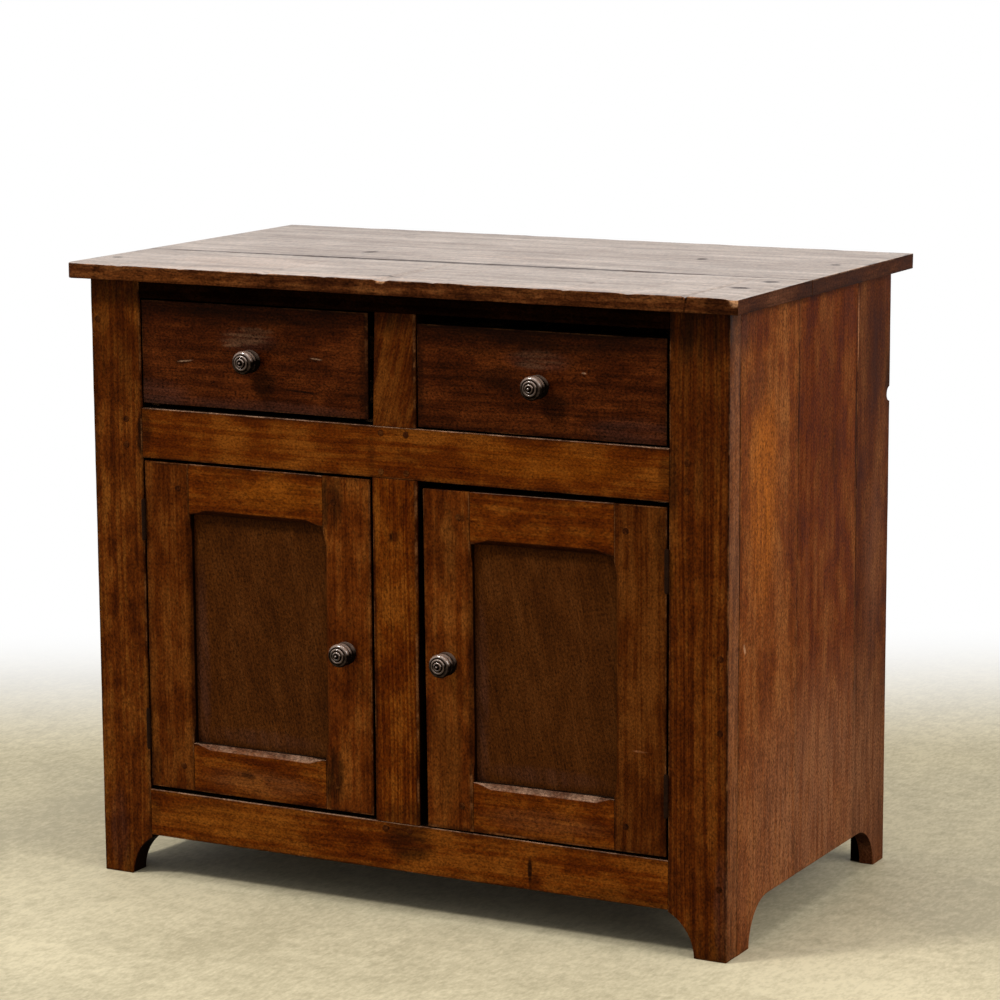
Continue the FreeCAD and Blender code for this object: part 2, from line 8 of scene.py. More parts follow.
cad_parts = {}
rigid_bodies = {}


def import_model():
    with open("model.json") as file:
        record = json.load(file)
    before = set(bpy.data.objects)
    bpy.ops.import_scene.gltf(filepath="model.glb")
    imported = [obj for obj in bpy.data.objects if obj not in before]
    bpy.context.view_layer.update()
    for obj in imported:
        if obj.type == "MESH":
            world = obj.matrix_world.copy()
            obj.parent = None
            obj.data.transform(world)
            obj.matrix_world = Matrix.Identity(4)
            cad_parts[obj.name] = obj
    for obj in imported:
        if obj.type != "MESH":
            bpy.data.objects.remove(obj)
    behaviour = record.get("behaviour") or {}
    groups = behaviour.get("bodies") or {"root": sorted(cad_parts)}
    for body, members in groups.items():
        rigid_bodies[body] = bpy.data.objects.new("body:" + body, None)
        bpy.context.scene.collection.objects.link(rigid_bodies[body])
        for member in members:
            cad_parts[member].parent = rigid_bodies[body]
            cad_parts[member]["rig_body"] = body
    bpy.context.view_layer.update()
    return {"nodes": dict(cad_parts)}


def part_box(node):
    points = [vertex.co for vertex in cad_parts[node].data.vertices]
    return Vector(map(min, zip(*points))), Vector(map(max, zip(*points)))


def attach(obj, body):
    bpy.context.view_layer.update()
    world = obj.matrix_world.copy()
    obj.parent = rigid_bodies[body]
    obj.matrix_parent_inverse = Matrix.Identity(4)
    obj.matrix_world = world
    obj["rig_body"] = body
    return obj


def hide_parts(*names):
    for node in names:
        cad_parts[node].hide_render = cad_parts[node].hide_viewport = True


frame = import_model()

# Where the cupboard's main faces lie, in metres
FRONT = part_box("left_stile")[0].y
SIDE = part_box("right_side_front_board")[1].x
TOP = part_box("top_front_board")[1].z
TOP_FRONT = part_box("top_front_board")[0].y

# The turn in degrees that lays the grain along an axis, and each axis's place in a vector
GRAIN_TURN = {"x": (0, 0, 0), "y": (0, 0, -90), "z": (0, 90, 0)}
AXES = {"x": 0, "y": 1, "z": 2}

# Stain, dirt and painted light and shade, in screen steps of red, green and blue
# The first tone is dirt, and is also painted as shade under the top, below the knobs, on undersides and
# along edges
DIRT_AND_SHADE = (19, 6, 2)
# A greyish haze, which also paints a sheen on the drawers and the door panels
HAZE_AND_SHEEN = (66, 41, 34)
RUB = (150, 98, 58)
# Pale dust, which also paints a sheen on faces that look up
DUST_AND_SHEEN = (156, 124, 102)
# Near black, painted as shade in the gaps round drawers and doors
GAP_SHADE = (5, 2, 1)
STILE_TONES = ((48, 15, 1), (77, 33, 4), (104, 57, 16))
RAIL_TONES = ((62, 21, 1), (86, 37, 3), (112, 60, 14))
# Near black wood tones, which paint the shade under the top and inside the rear legs
STAIN_AND_SHADE_TONES = ((6, 1, 0), (13, 4, 1), (24, 9, 2))
BARE_TONES = ((92, 60, 36), (124, 86, 54), (152, 110, 74))
WAX_TONES = ((84, 62, 50), (128, 110, 97), (166, 147, 133))

# A board's figure: the broad parts choose its tone, the fine parts then lighten and darken it
FIGURE = {
    "bands": 0.4, "streaks": 0.35, "blotches": 1.5, "lines": 0.15,
    "fibres": 0.9, "mottle": 2.5, "flecks": 0.15}
BROAD_KINDS = ("bands", "streaks", "blotches")
FINE_KINDS = ("fibres", "mottle")
TONE_STOPS = (0.25, 0.5, 0.75)
TOP_BROAD = {"bands": 0.5, "blotches": 0.35, "dashes": 0.6}
TOP_FINE = {"grit": 2.2, "dashes": 0.3}
DEEPEST_SHADE = 0.15


def words(node):
    """A node's name in plain words."""
    return node.replace("_", " ")


def mm(*lengths):
    """Millimetres as metres."""
    return tuple(length * 0.001 for length in lengths)


def colour(red, green, blue):
    """A colour in screen steps of 0 to 255, as the linear values that a shader takes."""
    linear = []
    for step in (red, green, blue):
        share = step / 255
        linear.append(share / 12.92 if share <= 0.04045 else ((share + 0.055) / 1.055) ** 2.4)
    return (*linear, 1.0)


def put_in_scene(name, data):
    thing = bpy.data.objects.new(name, data)
    bpy.context.scene.collection.objects.link(thing)
    return thing


def editing(on):
    """Opens the active piece for editing, or closes it again."""
    bpy.ops.object.mode_set(mode="EDIT" if on else "OBJECT")


# Marks: a centre and a reach along x, y and z, all in mm, then a strength and a turn in degrees

def front_mark(x, z, wide, high, strength, turn=0, deep=40):
    """A mark on the front."""
    return (x, FRONT * 1000, z), (wide, deep, high), strength, (0, turn, 0)


def front_marks(*rows):
    """Marks on the front, from rows of the numbers that front_mark takes."""
    return tuple(front_mark(*row) for row in rows)


def side_mark(behind_front, z, deep, high, strength, turn=0):
    """A mark on both sides, so many mm behind the front."""
    return (0, FRONT * 1000 + behind_front, z), (900, deep, high), strength, (turn, 0, 0)


def top_mark(x, behind_edge, wide, deep, strength, turn=0):
    """A mark on the top, so many mm behind its front edge."""
    return (x, TOP_FRONT * 1000 + behind_edge, TOP * 1000), (wide, deep, 12), strength, (0, 0, turn)


# Camera and room

def set_camera():
    """A long lens from the front right, a little above the top."""
    place = Vector((2.082, FRONT - 3.650, 1.288))
    turned, raised, rolled = math.radians(-27.93), math.radians(10.11), math.radians(-0.32)
    level_part = math.cos(raised)
    ahead = Vector((math.sin(turned) * level_part, math.cos(turned) * level_part, -math.sin(raised)))
    level = ahead.cross(Vector((0, 0, 1))).normalized()
    upright = level.cross(ahead)
    right = math.cos(rolled) * level + math.sin(rolled) * upright
    up = math.cos(rolled) * upright - math.sin(rolled) * level
    lens = bpy.data.cameras.new("camera")
    lens.lens = 122.33
    lens.sensor_width = 36
    lens.clip_start = 0.05
    camera = put_in_scene("camera", lens)
    camera.matrix_world = Matrix((
        (right.x, up.x, -ahead.x, place.x),
        (right.y, up.y, -ahead.y, place.y),
        (right.z, up.z, -ahead.z, place.z),
        (0, 0, 0, 1)))
    bpy.context.scene.camera = camera


def seen_ray(nodes, links):
    """1 for a ray that shows the room, straight or in a reflection, and 0 for one that only lights."""
    path = nodes.new("ShaderNodeLightPath")
    seen = path.outputs["Is Camera Ray"]
    for kind in ("Is Glossy Ray", "Is Transmission Ray"):
        either = nodes.new("ShaderNodeMath")
        either.operation = "MAXIMUM"
        links.new(seen, either.inputs[0])
        links.new(path.outputs[kind], either.inputs[1])
        seen = either.outputs[0]
    return seen


def show_white(nodes, links, white_kind, share, lit, output):
    """Shows plain white by this share, and what is lit by the rest."""
    white = nodes.new(white_kind)
    white.inputs["Color"].default_value = (1, 1, 1, 1)
    white.inputs["Strength"].default_value = 1.0
    choice = nodes.new("ShaderNodeMixShader")
    for socket, source in zip(choice.inputs, (share, lit, white.outputs[0])):
        links.new(source, socket)
    links.new(choice.outputs[0], output.inputs["Surface"])


def set_world():
    """A white surround that lights softly."""
    world = bpy.data.worlds.new("white surround")
    world.use_nodes = True
    bpy.context.scene.world = world
    nodes, links = world.node_tree.nodes, world.node_tree.links
    soft = nodes["Background"]
    soft.inputs["Color"].default_value = (1.0, 0.99, 0.97, 1)
    soft.inputs["Strength"].default_value = 0.42
    seen = seen_ray(nodes, links)
    show_white(nodes, links, "ShaderNodeBackground", seen, soft.outputs[0], nodes["World Output"])


def add_lamp(name, place, target, size, power, tint):
    lamp = bpy.data.lights.new(name, "AREA")
    lamp.shape = "DISK"
    lamp.size = size
    lamp.energy = power
    lamp.color = tint
    holder = put_in_scene(name, lamp)
    holder.location = place
    holder.rotation_euler = (Vector(target) - Vector(place)).to_track_quat("-Z", "Y").to_euler()


class Finish:
    """A surface finish while it is put together: its material, with nodes that are added one by one."""

    def __init__(self, name):
        self.material = bpy.data.materials.new(name)
        self.material.use_nodes = True
        self.nodes = self.material.node_tree.nodes
        self.links = self.material.node_tree.links
        self.shader = self.nodes["Principled BSDF"]
        self.place = self.nodes.new("ShaderNodeTexCoord").outputs["Object"]

    def feed(self, socket, value):
        if isinstance(value, bpy.types.NodeSocket):
            self.links.new(value, socket)
        else:
            socket.default_value = value

    def surface(self, quality, value):
        """Sets one quality of the surface, such as its colour or its roughness."""
        self.feed(self.shader.inputs[quality], value)

    def worked_out(self, kind, operation, values):
        node = self.nodes.new(kind)
        node.operation = operation
        for socket, value in zip(node.inputs, values):
            self.feed(socket, value)
        return node.outputs

    def maths(self, operation, *values):
        return self.worked_out("ShaderNodeMath", operation, values)[0]

    def times(self, first, second):
        return self.maths("MULTIPLY", first, second)

    def vectors(self, operation, *values):
        outputs = self.worked_out("ShaderNodeVectorMath", operation, values)
        return outputs["Value" if operation in ("LENGTH", "DOT_PRODUCT") else "Vector"]

    def mapped(self, vector, location=(0, 0, 0), rotation=(0, 0, 0), scale=(1, 1, 1), kind="POINT"):
        node = self.nodes.new("ShaderNodeMapping")
        node.vector_type = kind
        self.feed(node.inputs["Vector"], vector)
        node.inputs["Location"].default_value = location
        node.inputs["Rotation"].default_value = rotation
        node.inputs["Scale"].default_value = scale
        return node.outputs["Vector"]

    def cloudy(self, vector, scale, seed=0.0, detail=2.0, coarse=0.5, out="Fac"):
        """Cloud-like noise with this many lumps to the metre along each axis."""
        node = self.nodes.new("ShaderNodeTexNoise")
        shifted = self.mapped(vector, location=(seed * 7.31, seed * 3.17, seed * 5.73), scale=scale)
        self.feed(node.inputs["Vector"], shifted)
        node.inputs["Scale"].default_value = 1.0
        node.inputs["Detail"].default_value = detail
        node.inputs["Roughness"].default_value = coarse
        return node.outputs[0] if out == "Fac" else node.outputs[1]

    def spread(self, value, low, high, to_low=0.0, to_high=1.0):
        """Stretches the range from low to high smoothly over another range, and holds the ends."""
        node = self.nodes.new("ShaderNodeMapRange")
        node.interpolation_type = "SMOOTHSTEP"
        for socket, number in zip(node.inputs, (value, low, high, to_low, to_high)):
            self.feed(socket, number)
        return node.outputs[0]

    def graded(self, value, stops, tones):
        """Runs through tones in screen steps, which lie at these stops of the value."""
        node = self.nodes.new("ShaderNodeValToRGB")
        while len(node.color_ramp.elements) < len(stops):
            node.color_ramp.elements.new(0.5)
        for element, stop, tone in zip(node.color_ramp.elements, stops, tones):
            element.position = stop
            element.color = colour(*tone)
        self.feed(node.inputs[0], value)
        return node.outputs[0]

    def mixed(self, share, shade, tone):
        """The shade with a share of a tone in screen steps. The node has its colours in sockets 6 and 7."""
        node = self.nodes.new("ShaderNodeMix")
        node.data_type = "RGBA"
        node.clamp_factor = True
        self.feed(node.inputs[0], share)
        self.feed(node.inputs[6], shade)
        self.feed(node.inputs[7], colour(*tone))
        return node.outputs[2]

    def split(self, vector):
        node = self.nodes.new("ShaderNodeSeparateXYZ")
        self.feed(node.inputs[0], vector)
        return node.outputs

    def facing(self):
        """Which way the surface faces, along the piece's own axes."""
        turn = self.nodes.new("ShaderNodeVectorTransform")
        turn.vector_type = "NORMAL"
        turn.convert_from = "WORLD"
        turn.convert_to = "OBJECT"
        self.feed(turn.inputs[0], self.nodes.new("ShaderNodeNewGeometry").outputs["Normal"])
        return self.split(turn.outputs[0])

    def attribute(self, name):
        node = self.nodes.new("ShaderNodeAttribute")
        node.attribute_name = name
        return node.outputs["Fac"]

    def raised(self, height, strength, distance):
        node = self.nodes.new("ShaderNodeBump")
        node.inputs["Strength"].default_value = strength
        node.inputs["Distance"].default_value = distance
        self.feed(node.inputs["Height"], height)
        self.surface("Normal", node.outputs["Normal"])

    def ragged_place(self, lumps, swing, seed):
        """The place on the piece, shifted to and fro by up to about half the swing in mm."""
        wobble = self.cloudy(self.place, (lumps, lumps, lumps), seed, detail=3, coarse=0.65, out="Color")
        centred = self.vectors("SUBTRACT", self.place, mm(swing / 2, swing / 2, swing / 2))
        return self.vectors("MULTIPLY_ADD", wobble, mm(swing, swing, swing), centred)

    def patches(self, marks, ragged, nearly_straight):
        """Soft patches with uneven rims, the strongest where they overlap. Thin ones stay straighter."""
        together = None
        for centre, reach, strength, turn in marks:
            rotation = [math.radians(angle) for angle in turn]
            shifted = nearly_straight if min(reach) < 5 else ragged
            near = self.mapped(shifted, mm(*centre), rotation, mm(*reach), kind="TEXTURE")
            ball = self.nodes.new("ShaderNodeTexGradient")
            ball.gradient_type = "SPHERICAL"
            self.feed(ball.inputs["Vector"], near)
            patch = self.spread(ball.outputs["Fac"], 0.0, 0.55, 0.0, strength)
            together = patch if together is None else self.maths("MAXIMUM", together, patch)
        return together


def pale_floor():
    """A pale, faintly clouded floor that keeps the shadow and fades to white behind and further out."""
    finish = Finish("pale floor")
    clouds = finish.cloudy(finish.place, (2.3, 2.3, 2.3), 0.4, detail=4, coarse=0.6)
    specks = finish.cloudy(finish.place, (38, 38, 38), 1.9, detail=3, coarse=0.6)
    grains = finish.cloudy(finish.place, (210, 90, 210), 2.7, detail=2, coarse=0.6)
    tone = finish.maths("MULTIPLY_ADD", specks, 0.35, finish.times(clouds, 0.65))
    tone = finish.maths("MULTIPLY_ADD", grains, 0.5, finish.maths("SUBTRACT", tone, 0.25))
    ground = finish.graded(tone, (0.36, 0.64), ((170, 161, 133), (203, 193, 163)))
    finish.surface("Base Color", ground)
    finish.surface("Roughness", finish.spread(clouds, 0.3, 0.7, 0.55, 0.75))
    finish.surface("Specular IOR Level", 0.2)
    away = finish.spread(finish.vectors("LENGTH", finish.place), 2.4, 4.2)
    behind = finish.spread(finish.vectors("DOT_PRODUCT", finish.place, (-0.468, 0.883, 0)), 0.55, 1.5)
    fade = finish.maths("MAXIMUM", away, behind)
    share = finish.times(fade, seen_ray(finish.nodes, finish.links))
    show_white(finish.nodes, finish.links, "ShaderNodeEmission", share, finish.shader.outputs[0],
               finish.nodes["Material Output"])
    return finish.material


def set_floor():
    bpy.ops.object.select_all(action="DESELECT")
    bpy.ops.mesh.primitive_circle_add(vertices=96, radius=9.0, fill_type="NGON", location=(0, 0, 0))
    floor = bpy.context.object
    floor.name = "floor"
    editing(True)
    bpy.ops.mesh.inset(thickness=6.5)
    editing(False)
    floor.data.materials.append(pale_floor())


# Wood finishes

def edge_reach(finish, low, high):
    """How far a point of a board lies from its nearest arris, in metres."""
    centre, half = (low + high) / 2, (high - low) / 2
    outward = finish.vectors("ABSOLUTE", finish.vectors("SUBTRACT", finish.place, centre))
    inward = finish.split(finish.vectors("SUBTRACT", half, outward))
    lesser = finish.maths("MINIMUM", inward[0], inward[1])
    greater = finish.maths("MAXIMUM", inward[0], inward[1])
    return finish.maths("MAXIMUM", lesser, finish.maths("MINIMUM", greater, inward[2]))


def board_grain(finish, low, high, grain, seed, ring_gap, pith, lean):
    """The parts of one board's figure. Pith is where the tree's middle lies across the board, in mm."""
    turn = Euler([math.radians(angle) for angle in GRAIN_TURN[grain]]).to_matrix()
    turn = turn @ Matrix.Rotation(math.radians(lean), 3, "Y")
    along = finish.mapped(finish.place, -(turn @ ((low + high) / 2)), turn.to_euler())
    sway = finish.cloudy(along, (1.7, 8, 8), seed + 0.3, detail=3, out="Color")
    bent = finish.vectors("MULTIPLY_ADD", sway, (0.0, 0.022, 0.022), along)
    from_pith = finish.vectors("MULTIPLY_ADD", bent, (0, 1, 1), (0, -pith[0] * 0.001, -pith[1] * 0.001))
    radius = finish.times(finish.vectors("LENGTH", from_pith), 1000 / ring_gap)
    ring_place = finish.nodes.new("ShaderNodeCombineXYZ")
    finish.feed(ring_place.inputs[0], finish.times(finish.split(along)[0], 1.1))
    finish.feed(ring_place.inputs[1], radius)
    ring_place.inputs[2].default_value = seed
    rings = finish.cloudy(ring_place.outputs[0], (1, 1.6, 1), seed + 5.3, detail=1)
    return {
        "lines": finish.spread(rings, 0.40, 0.64),
        "bands": finish.cloudy(bent, (2.2, 22, 22), seed + 1.1, detail=4, coarse=0.65),
        "streaks": finish.cloudy(bent, (9, 130, 130), seed + 8.3, detail=4, coarse=0.65),
        "fibres": finish.cloudy(bent, (24, 560, 560), seed + 2.3, detail=2, coarse=0.6),
        "blotches": finish.cloudy(along, (13, 25, 25), seed + 3.7, detail=6, coarse=0.68),
        "mottle": finish.cloudy(along, (280, 420, 420), seed + 9.1, detail=2, coarse=0.6),
        "flecks": finish.cloudy(bent, (70, 520, 520), seed + 4.9, detail=1),
    }


def weighed(finish, grown, weights, middle):
    """The parts of a figure added up by their weights. Parts that are all one half give the middle."""
    total = middle - sum(weights.values()) / 2
    for kind, weight in weights.items():
        total = finish.maths("MULTIPLY_ADD", grown[kind], weight, total)
    return total


def finely_shaded(finish, grown, weights, shade):
    """The shade, lightened and darkened by the fine parts of a figure."""
    fine = finish.maths("MAXIMUM", weighed(finish, grown, weights, 1), DEEPEST_SHADE)
    return finish.vectors("MULTIPLY", shade, fine)


def painted_gap_shade(finish):
    """1 on edges that turn into the gaps round drawers and doors, which are painted dark as shade, else 0.
    """
    turned = finish.spread(finish.maths("ABSOLUTE", finish.facing()[1]), 0.35, 0.85, 1.0, 0.0)
    place = finish.split(finish.place)
    deep = finish.spread(place[1], FRONT + 0.0010, FRONT + 0.0045, 0.0, 0.95)
    inner = finish.spread(finish.maths("ABSOLUTE", place[0]), SIDE - 0.016, SIDE - 0.006, 1.0, 0.0)
    return finish.times(turned, finish.times(deep, inner))


def old_wood(node, grain, tones, seed, figure=FIGURE, part="wood", ring_gap=7.0, pith=(35, 70), lean=0,
             gloss=0.025, roughness=(0.42, 0.58), edge_grime_and_shade=0.25, edge_grime_and_shade_reach=14, rim_dirt_and_shade=0.6, rubbed=0.3,
             rub_tone=RUB, rub_above=None, dust=0.0, patches=(), shade_gaps=False):
    """Stained softwood that has been handled for a century, with painted shade in its gaps, on its
    undersides and towards its edges. Tones run from its dark to its light parts.
    """
    finish = Finish(f"{words(node)} {part}")
    low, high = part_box(node)
    grown = board_grain(finish, low, high, grain, seed, ring_gap, pith, lean)
    broad = {kind: figure[kind] for kind in BROAD_KINDS}
    tone = weighed(finish, grown, {**broad, "lines": -figure["lines"]}, 0.5)
    shade = finish.graded(tone, TONE_STOPS, tones)
    ragged = finish.ragged_place(lumps=95, swing=9, seed=seed + 6.1)
    nearly_straight = finish.ragged_place(lumps=60, swing=2.5, seed=seed + 6.7)
    reach = edge_reach(finish, low, high)
    patchy = finish.cloudy(finish.place, (24, 24, 24), seed + 7.7, detail=4, coarse=0.65)
    # Each board darkens towards its edges: dirt, and painted shade where parts meet
    uneven = finish.maths("MULTIPLY_ADD", patchy, 0.016, reach)
    grimed_and_shaded = finish.spread(uneven, 0.004, edge_grime_and_shade_reach * 0.001 + 0.008, edge_grime_and_shade, 0.0)
    shade = finish.mixed(grimed_and_shaded, shade, DIRT_AND_SHADE)
    # A darker band just inside every arris: dirt, and painted shade round the gaps
    near_arris = finish.maths("MULTIPLY_ADD", grown["blotches"], 0.010, reach)
    shade = finish.mixed(finish.spread(near_arris, 0.0045, 0.0095, rim_dirt_and_shade, 0.0), shade, DIRT_AND_SHADE)
    broken = finish.spread(grown["streaks"], 0.36, 0.58, 0.45, 1.0)
    for patch_tone, marks in patches:
        share = finish.times(finish.patches(marks, ragged, nearly_straight), broken)
        shade = finish.mixed(share, shade, patch_tone)
    if rubbed:
        worn = finish.times(finish.spread(reach, 0.0004, 0.0024, 1.0, 0.0),
                            finish.spread(patchy, 0.45, 0.62, 0.0, rubbed))
        if rub_above is not None:
            height = finish.split(finish.place)[2]
            worn = finish.times(worn, finish.spread(height, rub_above, rub_above + 0.003))
        shade = finish.mixed(worn, shade, rub_tone)
    # Pale dust on faces that look up, which also paints the sheen on the rails' upper edges
    if dust:
        lying_dust_and_sheen = finish.times(finish.spread(finish.facing()[2], 0.25, 0.75),
                             finish.spread(patchy, 0.38, 0.58, 0.25 * dust, dust))
        shade = finish.mixed(lying_dust_and_sheen, shade, DUST_AND_SHEEN)
    # Faces that look down are painted dark as shade
    painted_underside_shade = finish.spread(finish.facing()[2], -0.75, -0.3, 0.8, 0.0)
    shade = finish.mixed(painted_underside_shade, shade, DIRT_AND_SHADE)
    shade = finely_shaded(finish, grown, {kind: figure[kind] for kind in FINE_KINDS}, shade)
    pores = finish.spread(grown["flecks"], 0.57, 0.72, 0.0, figure["flecks"])
    shade = finish.mixed(pores, shade, DIRT_AND_SHADE)
    # Painted shade darkens the faces inside the gaps
    if shade_gaps:
        shade = finish.mixed(painted_gap_shade(finish), shade, GAP_SHADE)
    finish.surface("Base Color", shade)
    finish.surface("Roughness", finish.spread(grown["blotches"], 0.3, 0.7, *roughness))
    finish.surface("Specular IOR Level", gloss)
    finish.surface("Specular Tint", (1.0, 0.8, 0.62, 1))
    height = finish.maths("MULTIPLY_ADD", grown["lines"], 0.2, grown["streaks"])
    height = finish.maths("MULTIPLY_ADD", grown["mottle"], 0.4, height)
    height = finish.maths("MULTIPLY_ADD", pores, -0.8, height)
    finish.raised(height, strength=0.35, distance=0.0005)
    return finish.material


def waxed_top(node, seed, scars, rubs):
    """The planks' upper faces: waxed, rubbed greyish brown, with old scars."""
    finish = Finish(words(node) + " wax")
    low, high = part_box(node)
    grown = board_grain(finish, low, high, "x", seed, ring_gap=13.0, pith=(60, -90), lean=0)
    grown["dashes"] = finish.cloudy(finish.place, (6, 90, 90), seed + 2.9, detail=4, coarse=0.7)
    grown["grit"] = finish.cloudy(finish.place, (300, 95, 95), seed + 5.9, detail=3, coarse=0.7)
    tone = weighed(finish, grown, TOP_BROAD, 0.5)
    shade = finish.graded(tone, TONE_STOPS, WAX_TONES)
    ragged = finish.ragged_place(lumps=110, swing=7, seed=seed + 6.1)
    nearly_straight = finish.ragged_place(lumps=50, swing=6, seed=seed + 6.7)
    reach = edge_reach(finish, low, high)
    patchy = finish.cloudy(finish.place, (30, 30, 30), seed + 7.7, detail=4, coarse=0.65)
    dirty = finish.times(finish.spread(reach, 0.0010, 0.0070, 1.0, 0.0),
                         finish.spread(patchy, 0.38, 0.50, 0.8, 0.0))
    shade = finish.mixed(dirty, shade, (50, 24, 12))
    worn = finish.times(finish.spread(reach, 0.0010, 0.0050, 1.0, 0.0),
                        finish.spread(patchy, 0.50, 0.60, 0.0, 0.5))
    shade = finish.mixed(worn, shade, (190, 156, 132))
    shade = finish.mixed(finish.patches(rubs, ragged, ragged), shade, (182, 152, 132))
    shade = finely_shaded(finish, grown, TOP_FINE, shade)
    nicks = finish.cloudy(finish.place, (14, 120, 120), seed + 8.8, detail=2, coarse=0.6)
    pores = finish.spread(nicks, 0.61, 0.72, 0.0, 0.5)
    shade = finish.mixed(pores, shade, (44, 25, 17))
    scarred = finish.patches(scars, ragged, nearly_straight)
    shade = finish.mixed(scarred, shade, (34, 19, 13))
    finish.surface("Base Color", shade)
    unwaxed = finish.maths("MAXIMUM", scarred, pores)
    finish.surface("Specular IOR Level", finish.spread(unwaxed, 0.0, 1.0, 0.5, 0.0))
    finish.surface("Roughness", finish.spread(tone, 0.25, 0.75, 0.40, 0.29))
    height = finish.maths("MULTIPLY_ADD", pores, -0.8, grown["streaks"])
    height = finish.maths("MULTIPLY_ADD", grown["grit"], 0.5, height)
    finish.raised(height, strength=0.14, distance=0.0005)
    return finish.material


def patinated_metal(name, seed, dull, bright, roughness, gloss, rubbed=None):
    """Dark metal. Rubbed names the piece's own record of its high parts, which hands keep bright. Where it
    is given, faces that look up or ahead are also painted lighter and glossier, as a painted highlight.
    """
    finish = Finish(name)
    cloud = finish.cloudy(finish.place, (150, 150, 150), seed, detail=4, coarse=0.6)
    grain = finish.cloudy(finish.place, (900, 900, 900), seed + 1.7, detail=2)
    tone = finish.maths("MULTIPLY_ADD", grain, 0.5, finish.maths("MULTIPLY_ADD", cloud, 1.2, -0.45))
    shine = gloss
    if rubbed:
        # Painted highlight: faces that look up, and face rings that look ahead, get a lighter tone and more
        # gloss
        _, ahead, upward = finish.facing()
        painted_highlight = finish.maths("ADD", finish.spread(upward, 0.05, 0.6, 0.04, 1.3),
                            finish.spread(ahead, -0.97, -0.6, 0.3, 0.0))
        rubbed_and_highlit = finish.times(finish.attribute(rubbed), painted_highlight)
        tone = finish.maths("MULTIPLY_ADD", tone, 0.4, finish.maths("SUBTRACT", rubbed_and_highlit, 0.22))
        shine = finish.spread(rubbed_and_highlit, 0.15, 0.9, 0.0, gloss)
    finish.surface("Specular IOR Level", shine)
    shade = finish.graded(tone, (0.0, 1.0), (dull, bright))
    finish.surface("Base Color", shade)
    finish.surface("Roughness", finish.spread(tone, 0.0, 1.0, *roughness))
    finish.raised(grain, strength=0.15, distance=0.0002)
    return finish.material


# Shaping

def pick_only(piece):
    bpy.ops.object.select_all(action="DESELECT")
    piece.select_set(True)
    bpy.context.view_layer.objects.active = piece


def copy_of(node):
    """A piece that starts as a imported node's shape, with its loose triangles merged into whole faces."""
    mesh = frame["nodes"][node].data.copy()
    mesh.materials.clear()
    piece = put_in_scene(node + "_worn", mesh)
    pick_only(piece)
    bpy.ops.mesh.customdata_custom_splitnormals_clear()
    editing(True)
    bpy.ops.mesh.select_all(action="SELECT")
    bpy.ops.mesh.remove_doubles(threshold=0.00001)
    bpy.ops.mesh.dissolve_limited(angle_limit=math.radians(1))
    editing(False)
    return piece


def cut_across(piece, axis, gap):
    """Cuts a board's faces across at even steps, so that its edges can wear unevenly."""
    way = AXES[axis]
    taken = sorted({round(vertex.co[way], 5) for vertex in piece.data.vertices})
    steps = max(1, round((taken[-1] - taken[0]) / (gap * 0.001)))
    facing = Vector((0, 0, 0))
    facing[way] = 1
    pick_only(piece)
    editing(True)
    for step in range(1, steps):
        place = taken[0] + (taken[-1] - taken[0]) * step / steps
        if min(abs(place - other) for other in taken) > 0.0025:
            bpy.ops.mesh.select_all(action="SELECT")
            bpy.ops.mesh.bisect(plane_co=facing * place, plane_no=facing)
    editing(False)


def round_edges(piece, width, segments=2):
    pick_only(piece)
    rounding = piece.modifiers.new("rounding", "BEVEL")
    rounding.width = width * 0.001
    rounding.segments = segments
    rounding.limit_method = "ANGLE"
    rounding.angle_limit = math.radians(38)
    rounding.use_clamp_overlap = False
    bpy.ops.object.modifier_apply(modifier=rounding.name)


def round_some_edges(piece, width, segments, wanted):
    """Rounds only the sharp edges whose two ends both pass the test."""
    pick_only(piece)
    editing(True)
    bpy.ops.mesh.select_all(action="DESELECT")
    bpy.ops.mesh.select_mode(type="EDGE")
    editing(False)
    sides = {}
    for face in piece.data.polygons:
        for key in face.edge_keys:
            sides.setdefault(key, []).append(face.normal)
    places = [vertex.co for vertex in piece.data.vertices]
    for edge in piece.data.edges:
        normals = sides.get(tuple(sorted(edge.vertices)), ())
        sharp = len(normals) == 2 and normals[0].dot(normals[1]) < 0.9
        edge.select = sharp and all(wanted(places[end]) for end in edge.vertices)
    editing(True)
    bpy.ops.mesh.bevel(offset=width * 0.001, segments=segments, affect="EDGES", clamp_overlap=False)
    editing(False)


def wear_edges(piece, depth, seed):
    """Rubs the arrises in by an uneven amount, up to depth in mm."""
    facing = {}
    for face in piece.data.polygons:
        for corner in face.vertices:
            facing.setdefault(corner, []).append(face.normal.copy())
    shift = Vector((seed * 3.1, seed * 1.7, seed * 2.3))
    for vertex in piece.data.vertices:
        normals = facing.get(vertex.index)
        if not normals or min(normals[0].dot(other) for other in normals) > 0.97:
            continue
        broad = noise.noise(vertex.co * 22 + shift)
        fine = noise.noise(vertex.co * 95 + shift)
        inward = sum(normals, Vector()).normalized()
        vertex.co -= inward * depth * 0.001 * max(0.0, 0.35 + 0.7 * broad + 0.4 * fine)


def even_shading(piece):
    pick_only(piece)
    bpy.ops.object.shade_smooth_by_angle(angle=math.radians(60))
    weighing = piece.modifiers.new("shading", "WEIGHTED_NORMAL")
    weighing.keep_sharp = True
    bpy.ops.object.modifier_apply(modifier=weighing.name)


def settle(piece, node, material):
    """Gives a finished piece its material and its moving body, and hides the node that it stands for."""
    piece.data.materials.append(material)
    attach(piece, frame["nodes"][node]["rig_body"])
    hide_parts(node)


